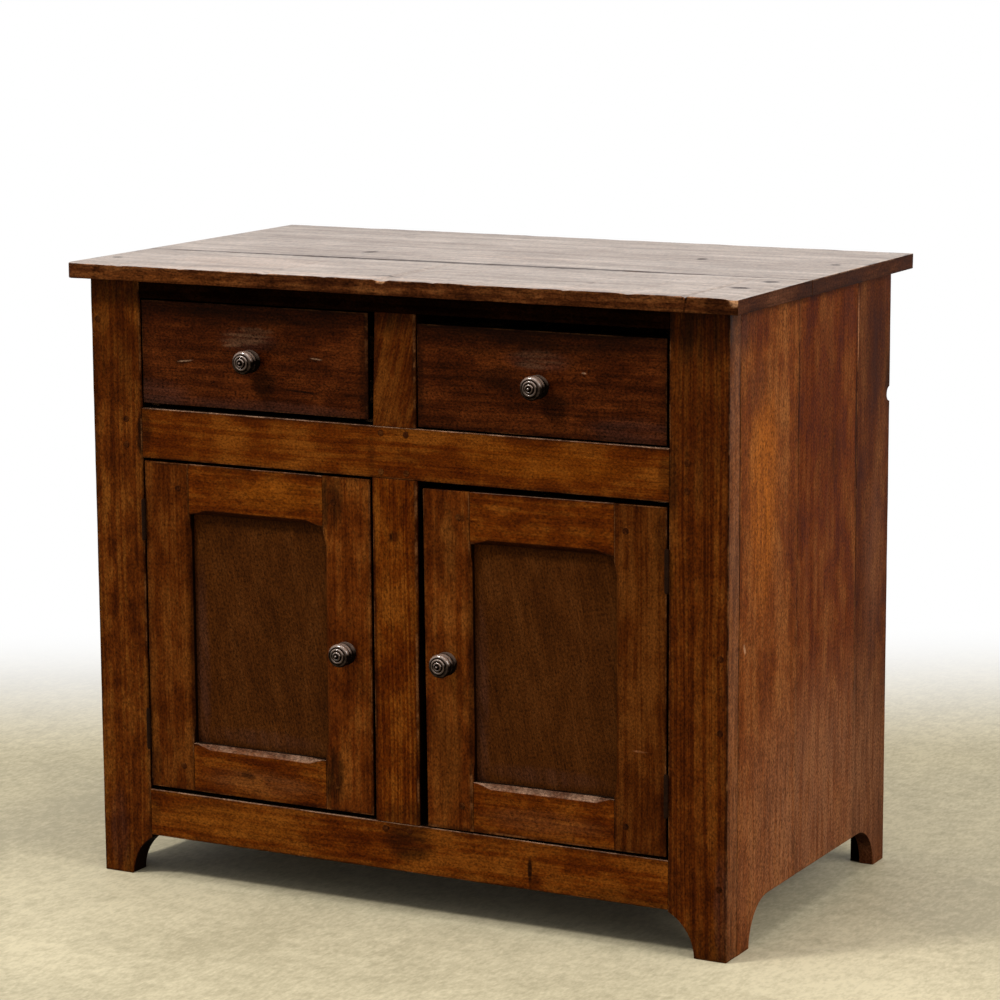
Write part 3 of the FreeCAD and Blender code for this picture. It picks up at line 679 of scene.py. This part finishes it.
def sag_right_door(piece, node):
    """The right door has dropped at its lock side, and its foot has swung towards the hinges."""
    if not node.startswith("right_door"):
        return
    drop, swing, swing_reach = 0.0075, 0.0032, 0.25
    low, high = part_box("right_door_hinge_stile")
    for vertex in piece.data.vertices:
        away = high.x - vertex.co.x
        below = (high.z - vertex.co.z) / (high.z - low.z)
        vertex.co.z -= drop * away
        vertex.co.x += swing * below * min(1.0, away / swing_reach)


def dress(node, material, along, gap=24, edge=0.7, wear=0.35, seed=1.0, first=None, shape=None):
    """A board's worn copy: cut across, rounded, rubbed and finished."""
    piece = copy_of(node)
    if first:
        first(piece)
    cut_across(piece, along, gap)
    if shape:
        shape(piece)
    round_edges(piece, edge)
    wear_edges(piece, wear, seed)
    sag_right_door(piece, node)
    even_shading(piece)
    settle(piece, node, material)
    return piece


# Top

def round_left_corner(piece):
    """Rounds the front left corner in plan, as it has been knocked off."""
    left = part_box("top_front_board")[0].x
    round_some_edges(piece, width=12.0, segments=6,
                     wanted=lambda p: p.x < left + 0.001 and p.y < TOP_FRONT + 0.001)


def chip_top_front(piece):
    """Rounds the front arris and knocks small chips out of the front edge."""
    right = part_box("top_front_board")[1].x
    round_some_edges(
        piece, width=1.8, segments=3,
        wanted=lambda p: p.y < TOP_FRONT + 0.0095 and p.z > TOP - 0.0001 and p.x < right - 0.0001)
    # Each chip's place along the edge, half its length and its depth, in metres
    chips = (
        (-0.006, 0.011, 0.0045), (-0.301, 0.006, 0.0022), (-0.177, 0.008, 0.0024), (0.124, 0.007, 0.0022),
        (0.248, 0.006, 0.0024), (0.333, 0.008, 0.0026), (0.409, 0.0035, 0.0050), (0.470, 0.010, 0.0036),
        (-0.395, 0.007, 0.0018), (-0.088, 0.006, 0.0020), (0.066, 0.005, 0.0018))
    worn_band, ragged = 0.012, 0.0005
    for vertex in piece.data.vertices:
        back, down = vertex.co.y - TOP_FRONT, TOP - vertex.co.z
        near = max(0.0, 1 - (back + down) / worn_band)
        if near == 0.0:
            continue
        rough = noise.fractal(Vector((vertex.co.x * 110, 3.3, 1.7)), 0.9, 2.1, 4)
        depth = ragged * max(0.0, rough + 0.15)
        for x, reach, deep in chips:
            depth = max(depth, 0.7 * deep * max(0.0, 1 - ((vertex.co.x - x) / reach) ** 2))
        vertex.co.y += 0.7 * depth * near
        vertex.co.z -= 0.8 * depth * near


def build_top():
    seam = top_mark(0, 212.5, 620, 13, 0.85, 1.5)
    scars = {
        "top_front_board": (
            seam, top_mark(431.8, 107.6, 17, 13, 0.9, 8), top_mark(440, 182.4, 15, 14, 0.85, 15),
            top_mark(-453.7, 87, 11, 10, 0.8), top_mark(-21, 44.4, 28, 6, 0.7, 6),
            top_mark(210, 130, 190, 110, 0.1)),
        "top_rear_board": (
            seam, top_mark(-182, 283, 15, 12, 0.9, 25), top_mark(253.5, 388.4, 10, 12, 0.9),
            top_mark(438.3, 394.5, 10, 10, 0.9), top_mark(120, 472, 70, 6, 0.5, -3),
            top_mark(300, 290, 200, 90, 0.1)),
    }
    rubs = {
        "top_front_board": (top_mark(-160, 20, 330, 22, 0.3), top_mark(230, 20, 230, 18, 0.2),
                            top_mark(-260, 110, 150, 70, 0.22)),
        "top_rear_board": (top_mark(60, 302, 160, 10, 0.18, -1),),
    }
    edge_y, upper = TOP_FRONT * 1000, TOP * 1000
    edge_scars = (
        ((409, edge_y, upper - 8), (2.4, 20, 16), 0.9, (0, 6, 0)),
        ((462, edge_y, upper - 8), (40, 20, 22), 0.5, (0, 0, 0)))
    edge_rubs = (
        ((-6, edge_y, upper - 2), (9, 8, 5), 0.75, (0, 0, 0)),
        ((474, edge_y + 2, upper - 2), (13, 16, 9), 0.95, (0, 0, 0)))
    edge_figure = {**FIGURE, "bands": 0.5, "streaks": 0.8, "blotches": 1.3, "flecks": 0.6}
    end_figure = {**FIGURE, "bands": 0.3, "streaks": 0.4, "lines": 0.0, "blotches": 1.2}
    edge_tones = ((38, 15, 6), (71, 36, 15), (106, 63, 31))
    end_tones = ((42, 19, 10), (62, 33, 20), (88, 55, 38))
    for node, gap, seed, first, shape in (
            ("top_front_board", 5, 3.0, round_left_corner, chip_top_front),
            ("top_rear_board", 12, 5.6, None, None)):
        wax = waxed_top(node, seed, scars[node], rubs[node])
        piece = dress(node, wax, "x", gap=gap, edge=0.9, wear=0.7, seed=seed,
                      first=first, shape=shape)
        piece.data.materials.append(old_wood(
            node, "x", edge_tones, seed + 0.8, edge_figure, "edge wood", gloss=0.01, rim_dirt_and_shade=0.3, rubbed=0.75,
            rub_tone=(176, 130, 98), rub_above=TOP - 0.006,
            patches=(((120, 66, 26), (front_mark(-330, 806, 190, 16, 0.8),)),
                     (DIRT_AND_SHADE, edge_scars), ((186, 138, 100), edge_rubs))))
        piece.data.materials.append(old_wood(
            node, "y", end_tones, seed + 1.9, end_figure, "end wood", gloss=0.01, rim_dirt_and_shade=0.3, rubbed=0.5,
            rub_tone=(150, 116, 94), rub_above=TOP - 0.006))
        for face in piece.data.polygons:
            upper_face, end_face = face.normal.z > 0.85, abs(face.normal.x) > 0.8
            face.material_index = 0 if upper_face else 2 if end_face else 1


# Case

def lean_edge(piece, edge_x, at_foot, at_head):
    """Moves one upright edge sideways by so many mm at its foot and at its head."""
    heights = [vertex.co.z for vertex in piece.data.vertices]
    foot, head = min(heights), max(heights)
    for vertex in piece.data.vertices:
        if abs(vertex.co.x - edge_x) < 0.0005:
            share = (vertex.co.z - foot) / (head - foot)
            vertex.co.x += 0.001 * (at_foot + (at_head - at_foot) * share)


def lean_drawer_divider(piece):
    low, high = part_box("drawer_divider")
    lean_edge(piece, low.x, at_foot=1.8, at_head=6.3)
    lean_edge(piece, high.x, at_foot=1.0, at_head=2.3)


def lean_door_divider(piece):
    lean_edge(piece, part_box("door_divider")[1].x, at_foot=0.8, at_head=2.6)


def frame_board(node, grain, tones, wood_seed, wear_seed, edge=0.7, wear=0.35, shape=None, **looks):
    """One board of the face frame. Looks are what old_wood takes besides."""
    wood = old_wood(node, grain, tones, wood_seed, shade_gaps=True, **looks)
    dress(node, wood, grain, edge=edge, wear=wear, seed=wear_seed, shape=shape)


def build_frame():
    frame_board(
        "left_stile", "z", ((52, 18, 2), (82, 37, 6), (110, 62, 19)), wood_seed=11.2, wear_seed=5.0,
        edge=1.0, wear=0.5, pith=(-30, 60),
        # The (50, 17, 1) patch darkens the stile towards the top, and the dark mark at 795 paints the
        # shadow under the top
        patches=(((50, 17, 1), front_marks((-418, 705, 46, 100, 0.55))),
                 (DIRT_AND_SHADE, front_marks((-384, 596, 7, 34, 0.9), (-400, 795, 80, 40, 0.6),
                                    (-402, 20, 50, 40, 0.4), (-455, 500, 5, 420, 0.35))),
                 (HAZE_AND_SHEEN, front_marks((-432, 60, 20, 70, 0.3)))))
    frame_board(
        "right_stile", "z", STILE_TONES, wood_seed=15.8, wear_seed=6.0, edge=1.0, wear=0.5,
        figure={**FIGURE, "bands": 0.25, "blotches": 1.1, "lines": 0.2},
        ring_gap=4.6, pith=(12, 150), gloss=0.03,
        # The (52, 18, 2) patch darkens the stile towards the top, and the dark mark at 802 paints the
        # shadow under the top
        patches=(((52, 18, 2), front_marks((416, 690, 60, 170, 0.55))),
                 ((122, 76, 46), (((459, FRONT * 1000 + 18, 400), (7, 26, 900), 0.8, (0, 0, 0)),)),
                 (DIRT_AND_SHADE, (*front_marks((416, 802, 90, 84, 0.85), (455.5, 420, 2.2, 460, 0.7, 0, 3),
                                      (420, 8, 60, 44, 0.4), (382, 590, 10, 60, 0.5),
                                      (451, 5, 7, 9, 0.85), (436, 14, 3, 12, 0.6, 20)),
                         ((456, FRONT * 1000 + 14, 40), (5, 2.6, 46), 0.7, (0, 0, 0)))),
                 (HAZE_AND_SHEEN, front_marks((448, 70, 12, 90, 0.35, 0, 6)))))
    # The top rail's near black tones paint the top's shadow on it
    frame_board("top_rail", "x", STAIN_AND_SHADE_TONES, wood_seed=17.1, wear_seed=7.0, gloss=0.0, rubbed=0.0)
    frame_board(
        "middle_rail", "x", RAIL_TONES, wood_seed=21.4, wear_seed=8.0, edge=1.3,
        ring_gap=9, pith=(-18, 55), dust=0.7,
        patches=((DIRT_AND_SHADE, front_marks((-378, 602, 16, 36, 0.6), (20, 596, 34, 10, 0.3),
                                    (372, 600, 12, 34, 0.5), (-36, 600, 7, 40, 0.35))),
                 ((122, 64, 8), front_marks((210, 602, 150, 28, 0.35)))))
    frame_board(
        "bottom_rail", "x", RAIL_TONES, wood_seed=25.9, wear_seed=9.0, edge=1.3,
        ring_gap=8, pith=(22, 60), dust=0.7,
        patches=((DIRT_AND_SHADE, front_marks((186.3, 82, 4, 26, 0.95), (192, 70, 12, 12, 0.55),
                                    (12, 96, 46, 34, 0.7), (-374, 92, 14, 30, 0.45),
                                    (-18.3, 112, 4, 4, 0.9), (330, 66, 90, 14, 0.35))),
                 ((126, 72, 18), front_marks((-250, 90, 130, 28, 0.5)))))
    frame_board(
        "drawer_divider", "z", ((42, 12, 1), (69, 28, 3), (95, 50, 13)), wood_seed=28.3, wear_seed=10.0,
        shape=lean_drawer_divider, lean=-14,
        # The dark marks at the head paint dirt and the shadow under the top
        patches=((DIRT_AND_SHADE, front_marks((-12, 790, 60, 56, 0.85), (-34, 740, 16, 70, 0.6))),))
    frame_board(
        "door_divider", "z", RAIL_TONES, wood_seed=31.7, wear_seed=11.0, shape=lean_door_divider,
        figure={**FIGURE, "lines": 0.25}, pith=(20, 80),
        patches=((DIRT_AND_SHADE, front_marks((-33, 340, 4, 240, 0.4), (10, 128, 50, 26, 0.5),
                                    (-5, 492, 9, 8, 0.95))),))


def build_sides():
    soft = {**FIGURE, "bands": 0.7, "blotches": 1.2, "lines": 0.05, "mottle": 2.7}
    golden = ((72, 28, 6), (99, 50, 19), (124, 75, 38))
    russet = ((62, 20, 4), (88, 40, 14), (110, 63, 31))
    umber = ((54, 20, 6), (77, 37, 16), (100, 60, 34))
    # A painted shadow along the sides just under the top
    painted_shadow_below_top = side_mark(240, 803, 330, 22, 0.9)
    # The sides' lower halves are painted lighter, a painted glow of light from the floor
    painted_floor_glow = ((132, 90, 63), (side_mark(290, 130, 480, 280, 0.6),))
    patches = {
        "front": (((158, 90, 30), (side_mark(104, 570, 66, 220, 0.7),)), painted_floor_glow,
                  ((54, 28, 24), (side_mark(40, 792, 66, 84, 0.85), side_mark(90, 700, 70, 60, 0.45, 25))),
                  (DIRT_AND_SHADE, (painted_shadow_below_top, side_mark(32, 420, 3.6, 480, 0.8), side_mark(57.2, 620.5, 5, 4, 0.95),
                          side_mark(210.6, 680, 4.0, 170, 0.75))),
                  ((176, 138, 108), (side_mark(49.5, 383, 4, 11, 0.7, 20),))),
        "middle": (painted_floor_glow,
                   ((62, 18, 4), (side_mark(300, 640, 64, 220, 0.65),)),
                   ((40, 14, 6), (side_mark(333, 581, 30, 64, 0.7),)),
                   (DIRT_AND_SHADE, (painted_shadow_below_top, side_mark(211.5, 690, 3.0, 160, 0.6),
                           side_mark(400.5, 620, 4.5, 230, 0.9)))),
        "rear": (painted_floor_glow, ((116, 74, 50), (side_mark(470, 420, 60, 180, 0.4),)),
                 ((44, 20, 12), (side_mark(470, 700, 70, 130, 0.6),)),
                 (DIRT_AND_SHADE, (painted_shadow_below_top, side_mark(411.5, 371.8, 5, 7, 0.95), side_mark(514, 650, 22, 70, 0.8))),
                 ((164, 114, 82), (side_mark(405.5, 735, 3.0, 75, 0.75),))),
    }
    for hand, shift in (("right", 0.0), ("left", 40.0)):
        for board, tones, seed, edge in (
                ("front", golden, 33.1, 0.5), ("middle", russet, 37.5, 0.6), ("rear", umber, 41.9, 0.8)):
            node = f"{hand}_side_{board}_board"
            wood = old_wood(node, "z", tones, seed + shift, soft, ring_gap=11,
                            pith=(20, 40), gloss=0.01, edge_grime_and_shade=0.1, rim_dirt_and_shade=0.35, patches=patches[board])
            dress(node, wood, "z", seed=seed, edge=edge, wear=0.3)


def build_inside():
    """The boards that show from behind, from below and through the open doors."""
    boards = (
        ("back_left_board", "z"), ("back_middle_board", "z"), ("back_right_board", "z"),
        ("cupboard_floor", "x"), ("shelf", "x"), ("cleats", "y"),
        ("left_runner", "y"), ("centre_runner", "y"), ("right_runner", "y"),
        ("left_guide", "y"), ("centre_guide", "y"), ("right_guide", "y"),
    )
    seed = 50.0
    for node, grain in boards:
        seed += 2.3
        wood = old_wood(node, grain, BARE_TONES, seed, {**FIGURE, "lines": 0.25},
                        ring_gap=9, gloss=0.15, roughness=(0.6, 0.8), rub_tone=(168, 128, 90))
        dress(node, wood, grain, gap=40, edge=0.8, seed=seed)
    for node in ("left_rear_batten", "right_rear_batten"):
        seed += 2.3
        # Near black tones paint the shade inside the rear legs
        wood = old_wood(node, "z", STAIN_AND_SHADE_TONES, seed, gloss=0.0, rubbed=0.0)
        dress(node, wood, "z", gap=40, edge=0.8, seed=seed)


# Drawers and doors

def widen_left_drawer(piece):
    """The left drawer's front reaches a little further right than its box."""
    lean_edge(piece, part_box("left_drawer_front")[1].x, at_foot=2.2, at_head=3.2)


def build_drawers():
    tones = ((29, 8, 1), (54, 20, 4), (81, 37, 11))
    # The pale rubs and the haze above each knob paint a sheen as well as wear
    rub_and_sheen = (98, 70, 50)
    scratch = (140, 110, 88)
    # In each drawer's dark marks, the first paints the top's shadow and the last the shadow below and right
    # of its knob
    patches = {
        "left": (
            (HAZE_AND_SHEEN, front_marks((-360, 650, 70, 26, 0.4), (-200, 644, 190, 12, 0.3),
                               (-217, 730, 54, 20, 0.3))),
            (rub_and_sheen, front_marks((-205, 742, 34, 5.5, 0.4, 1), (-219, 735, 46, 3.0, 0.5),
                                   (-222, 728, 40, 6.0, 0.45, -2), (-240, 722, 20, 3.0, 0.5, -4))),
            (DIRT_AND_SHADE, front_marks((-211, 792, 290, 64, 0.9), (-140, 668, 38, 1.9, 0.8, 3),
                               (-316, 696, 19, 4.5, 0.75, -8), (-117, 710, 14, 3.5, 0.6),
                               (-170, 722, 40, 10, 0.4), (-46, 700, 10, 80, 0.5),
                               (-194, 676, 24, 24, 0.6))),
            (scratch, front_marks((-313, 697.5, 15, 1.5, 0.8, -8), (-116, 711, 11, 1.3, 0.7, 4)))),
        "right": (
            (HAZE_AND_SHEEN, front_marks((330, 648, 80, 22, 0.3), (200, 728, 56, 18, 0.4))),
            (rub_and_sheen, front_marks((196, 735, 40, 6.0, 0.35, -2), (206, 727, 36, 3.0, 0.35, 1),
                                   (190, 721, 26, 5.5, 0.3, 3))),
            (DIRT_AND_SHADE, front_marks((201, 782, 290, 66, 0.9), (150, 702, 46, 22, 0.45), (84, 690, 30, 1.9, 0.5),
                               (34, 700, 8, 80, 0.4), (222, 672, 28, 22, 0.65))),
            (scratch, front_marks((262, 716, 4, 1.6, 0.7)))),
    }
    figure = {**FIGURE, "streaks": 0.4, "blotches": 1.15, "fibres": 1.2, "mottle": 3.4}
    seed = 90.0
    for hand in ("left", "right"):
        seed += 4.7
        node = f"{hand}_drawer_front"
        wood = old_wood(node, "x", tones, seed, figure, ring_gap=10, pith=(10, 45),
                        edge_grime_and_shade=0.45, edge_grime_and_shade_reach=22, rubbed=0.15, patches=patches[hand], shade_gaps=True)
        dress(node, wood, "x", seed=seed, edge=1.2, wear=0.5,
              shape=widen_left_drawer if hand == "left" else None)
        for part, grain in (("left_side", "y"), ("right_side", "y"), ("back", "x"), ("bottom", "x")):
            seed += 1.9
            node = f"{hand}_drawer_{part}"
            low, high = (edge * 1000 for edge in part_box(node))
            front_end = front_mark((low.x + high.x) / 2, (low.z + high.z) / 2, 40, 160, 0.9, deep=34)
            wood = old_wood(node, grain, BARE_TONES, seed, {**FIGURE, "lines": 0.3},
                            ring_gap=8, gloss=0.15, roughness=(0.6, 0.8), rub_tone=(172, 132, 94),
                            patches=((DIRT_AND_SHADE, (front_end,)),) if part.endswith("side") else ())
            dress(node, wood, grain, gap=40, edge=0.6, seed=seed)


def build_doors():
    brown = ((54, 19, 1), (77, 34, 5), (100, 54, 16))
    dull = ((48, 21, 4), (66, 33, 8), (83, 46, 17))
    knot = (38, 14, 5)
    patches = {
        "left_door_lock_stile": ((DIRT_AND_SHADE, front_marks((-98, 170, 20, 50, 0.85), (-98, 528, 26, 44, 0.75))),),
        "left_door_top_rail": (((126, 68, 12), front_marks((-180, 532, 74, 26, 0.45))),),
        "left_door_bottom_rail": (((112, 70, 38), front_marks((-210, 148, 110, 22, 0.35))),
                                  (knot, front_marks((-228, 156, 17, 7, 0.75, 4)))),
        "right_door_bottom_rail": (((108, 66, 36), front_marks((206, 146, 110, 20, 0.3))),),
        "left_door_hinge_stile": ((DIRT_AND_SHADE, front_marks((-372, 150, 14, 40, 0.5), (-312, 300, 3, 190, 0.6))),),
        "right_door_lock_stile": ((DIRT_AND_SHADE, front_marks((92, 525, 10, 7, 0.7), (70, 490, 26, 80, 0.3),
                                                     (103, 300, 3, 190, 0.5))),
                                  ((116, 68, 24), front_marks((68, 220, 30, 120, 0.4)))),
        "right_door_hinge_stile": ((DIRT_AND_SHADE, front_marks((368, 520, 14, 46, 0.5))),
                                   ((142, 92, 60), front_marks((338.7, 253.2, 13, 1.6, 0.6)))),
    }
    panel_figure = {
        **FIGURE, "bands": 0.15, "streaks": 0.3, "blotches": 0.9, "lines": 0.0,
        "fibres": 1.2, "mottle": 2.8}
    lock_brown = ((62, 23, 2), (88, 40, 7), (112, 62, 20))
    hinge_brown = ((48, 16, 1), (69, 30, 4), (92, 49, 14))
    seed = 130.0
    for hand in ("left", "right"):
        outer_brown = brown if hand == "left" else hinge_brown
        for part, grain, tones, dust in (
                ("hinge_stile", "z", outer_brown, 0.0), ("lock_stile", "z", lock_brown, 0.0),
                ("top_rail", "x", RAIL_TONES, 0.3), ("bottom_rail", "x", RAIL_TONES, 0.65)):
            seed += 3.1
            node = f"{hand}_door_{part}"
            wood = old_wood(node, grain, tones, seed, pith=(18, 50), dust=dust,
                            patches=patches.get(node, ()), shade_gaps=True)
            dress(node, wood, grain, seed=seed, gap=20, edge=0.9, wear=0.45)
        seed += 3.1
        node = f"{hand}_door_panel"
        low, high = (edge * 1000 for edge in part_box(node))
        # A painted sheen along the panel's left and lower edges, and a painted shadow under its top rail
        panel_sheen = (front_mark(low.x + 16, (low.z + high.z) / 2 - 60, 16, 190, 0.4),
                front_mark((low.x + high.x) / 2, low.z + 22, 110, 16, 0.3))
        shadow = (front_mark((low.x + high.x) / 2, high.z, 130, 34, 0.5),)
        wood = old_wood(node, "z", dull, seed, panel_figure, ring_gap=14, pith=(10, 80), lean=12,
                        roughness=(0.5, 0.65), edge_grime_and_shade=0.35, edge_grime_and_shade_reach=20, rubbed=0.0,
                        patches=((HAZE_AND_SHEEN, panel_sheen), (DIRT_AND_SHADE, shadow)))
        dress(node, wood, "z", seed=seed, gap=40, edge=0.4, wear=0.1)


# Knobs, hinges and pegs

def turned_profile():
    """The knob's half outline: (radius mm, projection mm, share rubbed bright), from base to button."""
    outline = [(8.5, 0.0, 0.0)]
    # Each bead's centre (radius, projection), own radius, arc in degrees and share rubbed at its crest
    beads = (
        (9.0, 6.0, 6.0, -90, 64, 0.4), (10.7, 15.2, 3.9, -60, 58, 0.8), (10.7, 22.4, 4.3, -50, 98, 1.0),
        (8.4, 26.7, 1.75, -5, 175, 1.0), (4.6, 28.6, 1.4, -40, 165, 0.9), (0.0, 30.2, 2.2, -10, 76, 1.0))
    for centre, height, bead, start, end, brightest in beads:
        steps = max(4, round((end - start) / 15))
        for step in range(steps + 1):
            angle = math.radians(start + (end - start) * step / steps)
            crest = math.sin(math.pi * (0.12 + 0.8 * step / steps)) if centre else step / steps
            rubbed = brightest * crest ** 2
            outline.append((centre + bead * math.cos(angle), height + bead * math.sin(angle), rubbed))
    return outline


def turn_knob():
    """Turns one knob at the origin, facing the front: a ring extruded and scaled along its outline."""
    outline = turned_profile()
    bpy.ops.object.select_all(action="DESELECT")
    bpy.ops.mesh.primitive_circle_add(vertices=56, radius=outline[0][0] * 0.001, fill_type="NGON",
                                      location=(0, 0, 0), rotation=(math.radians(90), 0, 0))
    knob = bpy.context.object
    bpy.ops.object.transform_apply(location=True, rotation=True, scale=True)
    editing(True)
    bpy.ops.mesh.select_all(action="SELECT")
    for (radius, height, _), (next_radius, next_height, _) in zip(outline, outline[1:]):
        rise = (height - next_height) * 0.001
        bpy.ops.mesh.extrude_region_move(TRANSFORM_OT_translate={"value": (0, rise, 0)})
        scale = next_radius / radius
        bpy.ops.transform.resize(value=(scale, 1, scale), center_override=(0, -next_height * 0.001, 0))
    bpy.ops.mesh.poke()
    bpy.ops.mesh.select_all(action="SELECT")
    bpy.ops.mesh.normals_make_consistent(inside=False)
    editing(False)
    record = knob.data.attributes.new("rubbed", "FLOAT", "POINT")
    for vertex, mark in zip(knob.data.vertices, record.data):
        radius, height = math.hypot(vertex.co.x, vertex.co.z) * 1000, -vertex.co.y * 1000
        nearest = min(outline, key=lambda point: (point[0] - radius) ** 2 + (point[1] - height) ** 2)
        mark.value = nearest[2]
    return knob


def build_knobs(metal):
    pattern = turn_knob()
    tip = min(vertex.co.y for vertex in pattern.data.vertices)
    for node in ("left_drawer_knob", "right_drawer_knob", "left_door_knob", "right_door_knob"):
        low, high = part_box(node)
        mesh = pattern.data.copy()
        knob = put_in_scene(node + "_turned", mesh)
        mesh.transform(Matrix.Translation(((low.x + high.x) / 2, low.y - tip, (low.z + high.z) / 2)))
        sag_right_door(knob, node)
        pick_only(knob)
        bpy.ops.object.shade_smooth_by_angle(angle=math.radians(50))
        settle(knob, node, metal)
    bpy.data.objects.remove(pattern)


def dress_small(node, material, edge):
    """A small piece's copy, with only its edges rounded."""
    piece = copy_of(node)
    round_edges(piece, edge)
    sag_right_door(piece, node)
    even_shading(piece)
    settle(piece, node, material)


def build_hinges_and_pegs(iron):
    for node in ("hinge_frame_leaves", "hinge_pins", "left_door_hinge_leaves", "right_door_hinge_leaves"):
        dress_small(node, iron, edge=0.25)
    peg_tones = ((34, 12, 3), (56, 24, 6), (84, 46, 16))
    for node, seed in (("frame_pegs", 201.0), ("left_door_pegs", 207.0), ("right_door_pegs", 213.0)):
        wood = old_wood(node, "y", peg_tones, seed, edge_grime_and_shade=0.0, rubbed=0.0)
        dress_small(node, wood, edge=0.35)


set_camera()
set_world()
set_floor()
add_lamp("key from the upper left", (-1.68, -2.27, 3.78), (0, -0.2, 0.45),
         size=0.8, power=108, tint=(1.0, 0.97, 0.92))
add_lamp("soft light from the right", (3.4, -0.5, 1.9), (0.2, 0, 0.4),
         size=2.0, power=76, tint=(1.0, 0.96, 0.92))
add_lamp("soft light from above", (0.2, -0.2, 3.3), (0, 0, 0.4),
         size=2.0, power=45, tint=(1.0, 0.98, 0.95))

brass = patinated_metal("dark patinated brass", 3.1, dull=(9, 5, 3), bright=(130, 108, 95),
                        roughness=(0.34, 0.19), gloss=1.0, rubbed="rubbed")
iron = patinated_metal("stained old iron", 5.3, dull=(14, 7, 4), bright=(42, 23, 12),
                       roughness=(0.6, 0.5), gloss=0.03)

build_top()
build_frame()
build_sides()
build_inside()
build_drawers()
build_doors()
build_knobs(brass)
build_hinges_and_pegs(iron)

bpy.context.scene.view_settings.view_transform = "Standard"
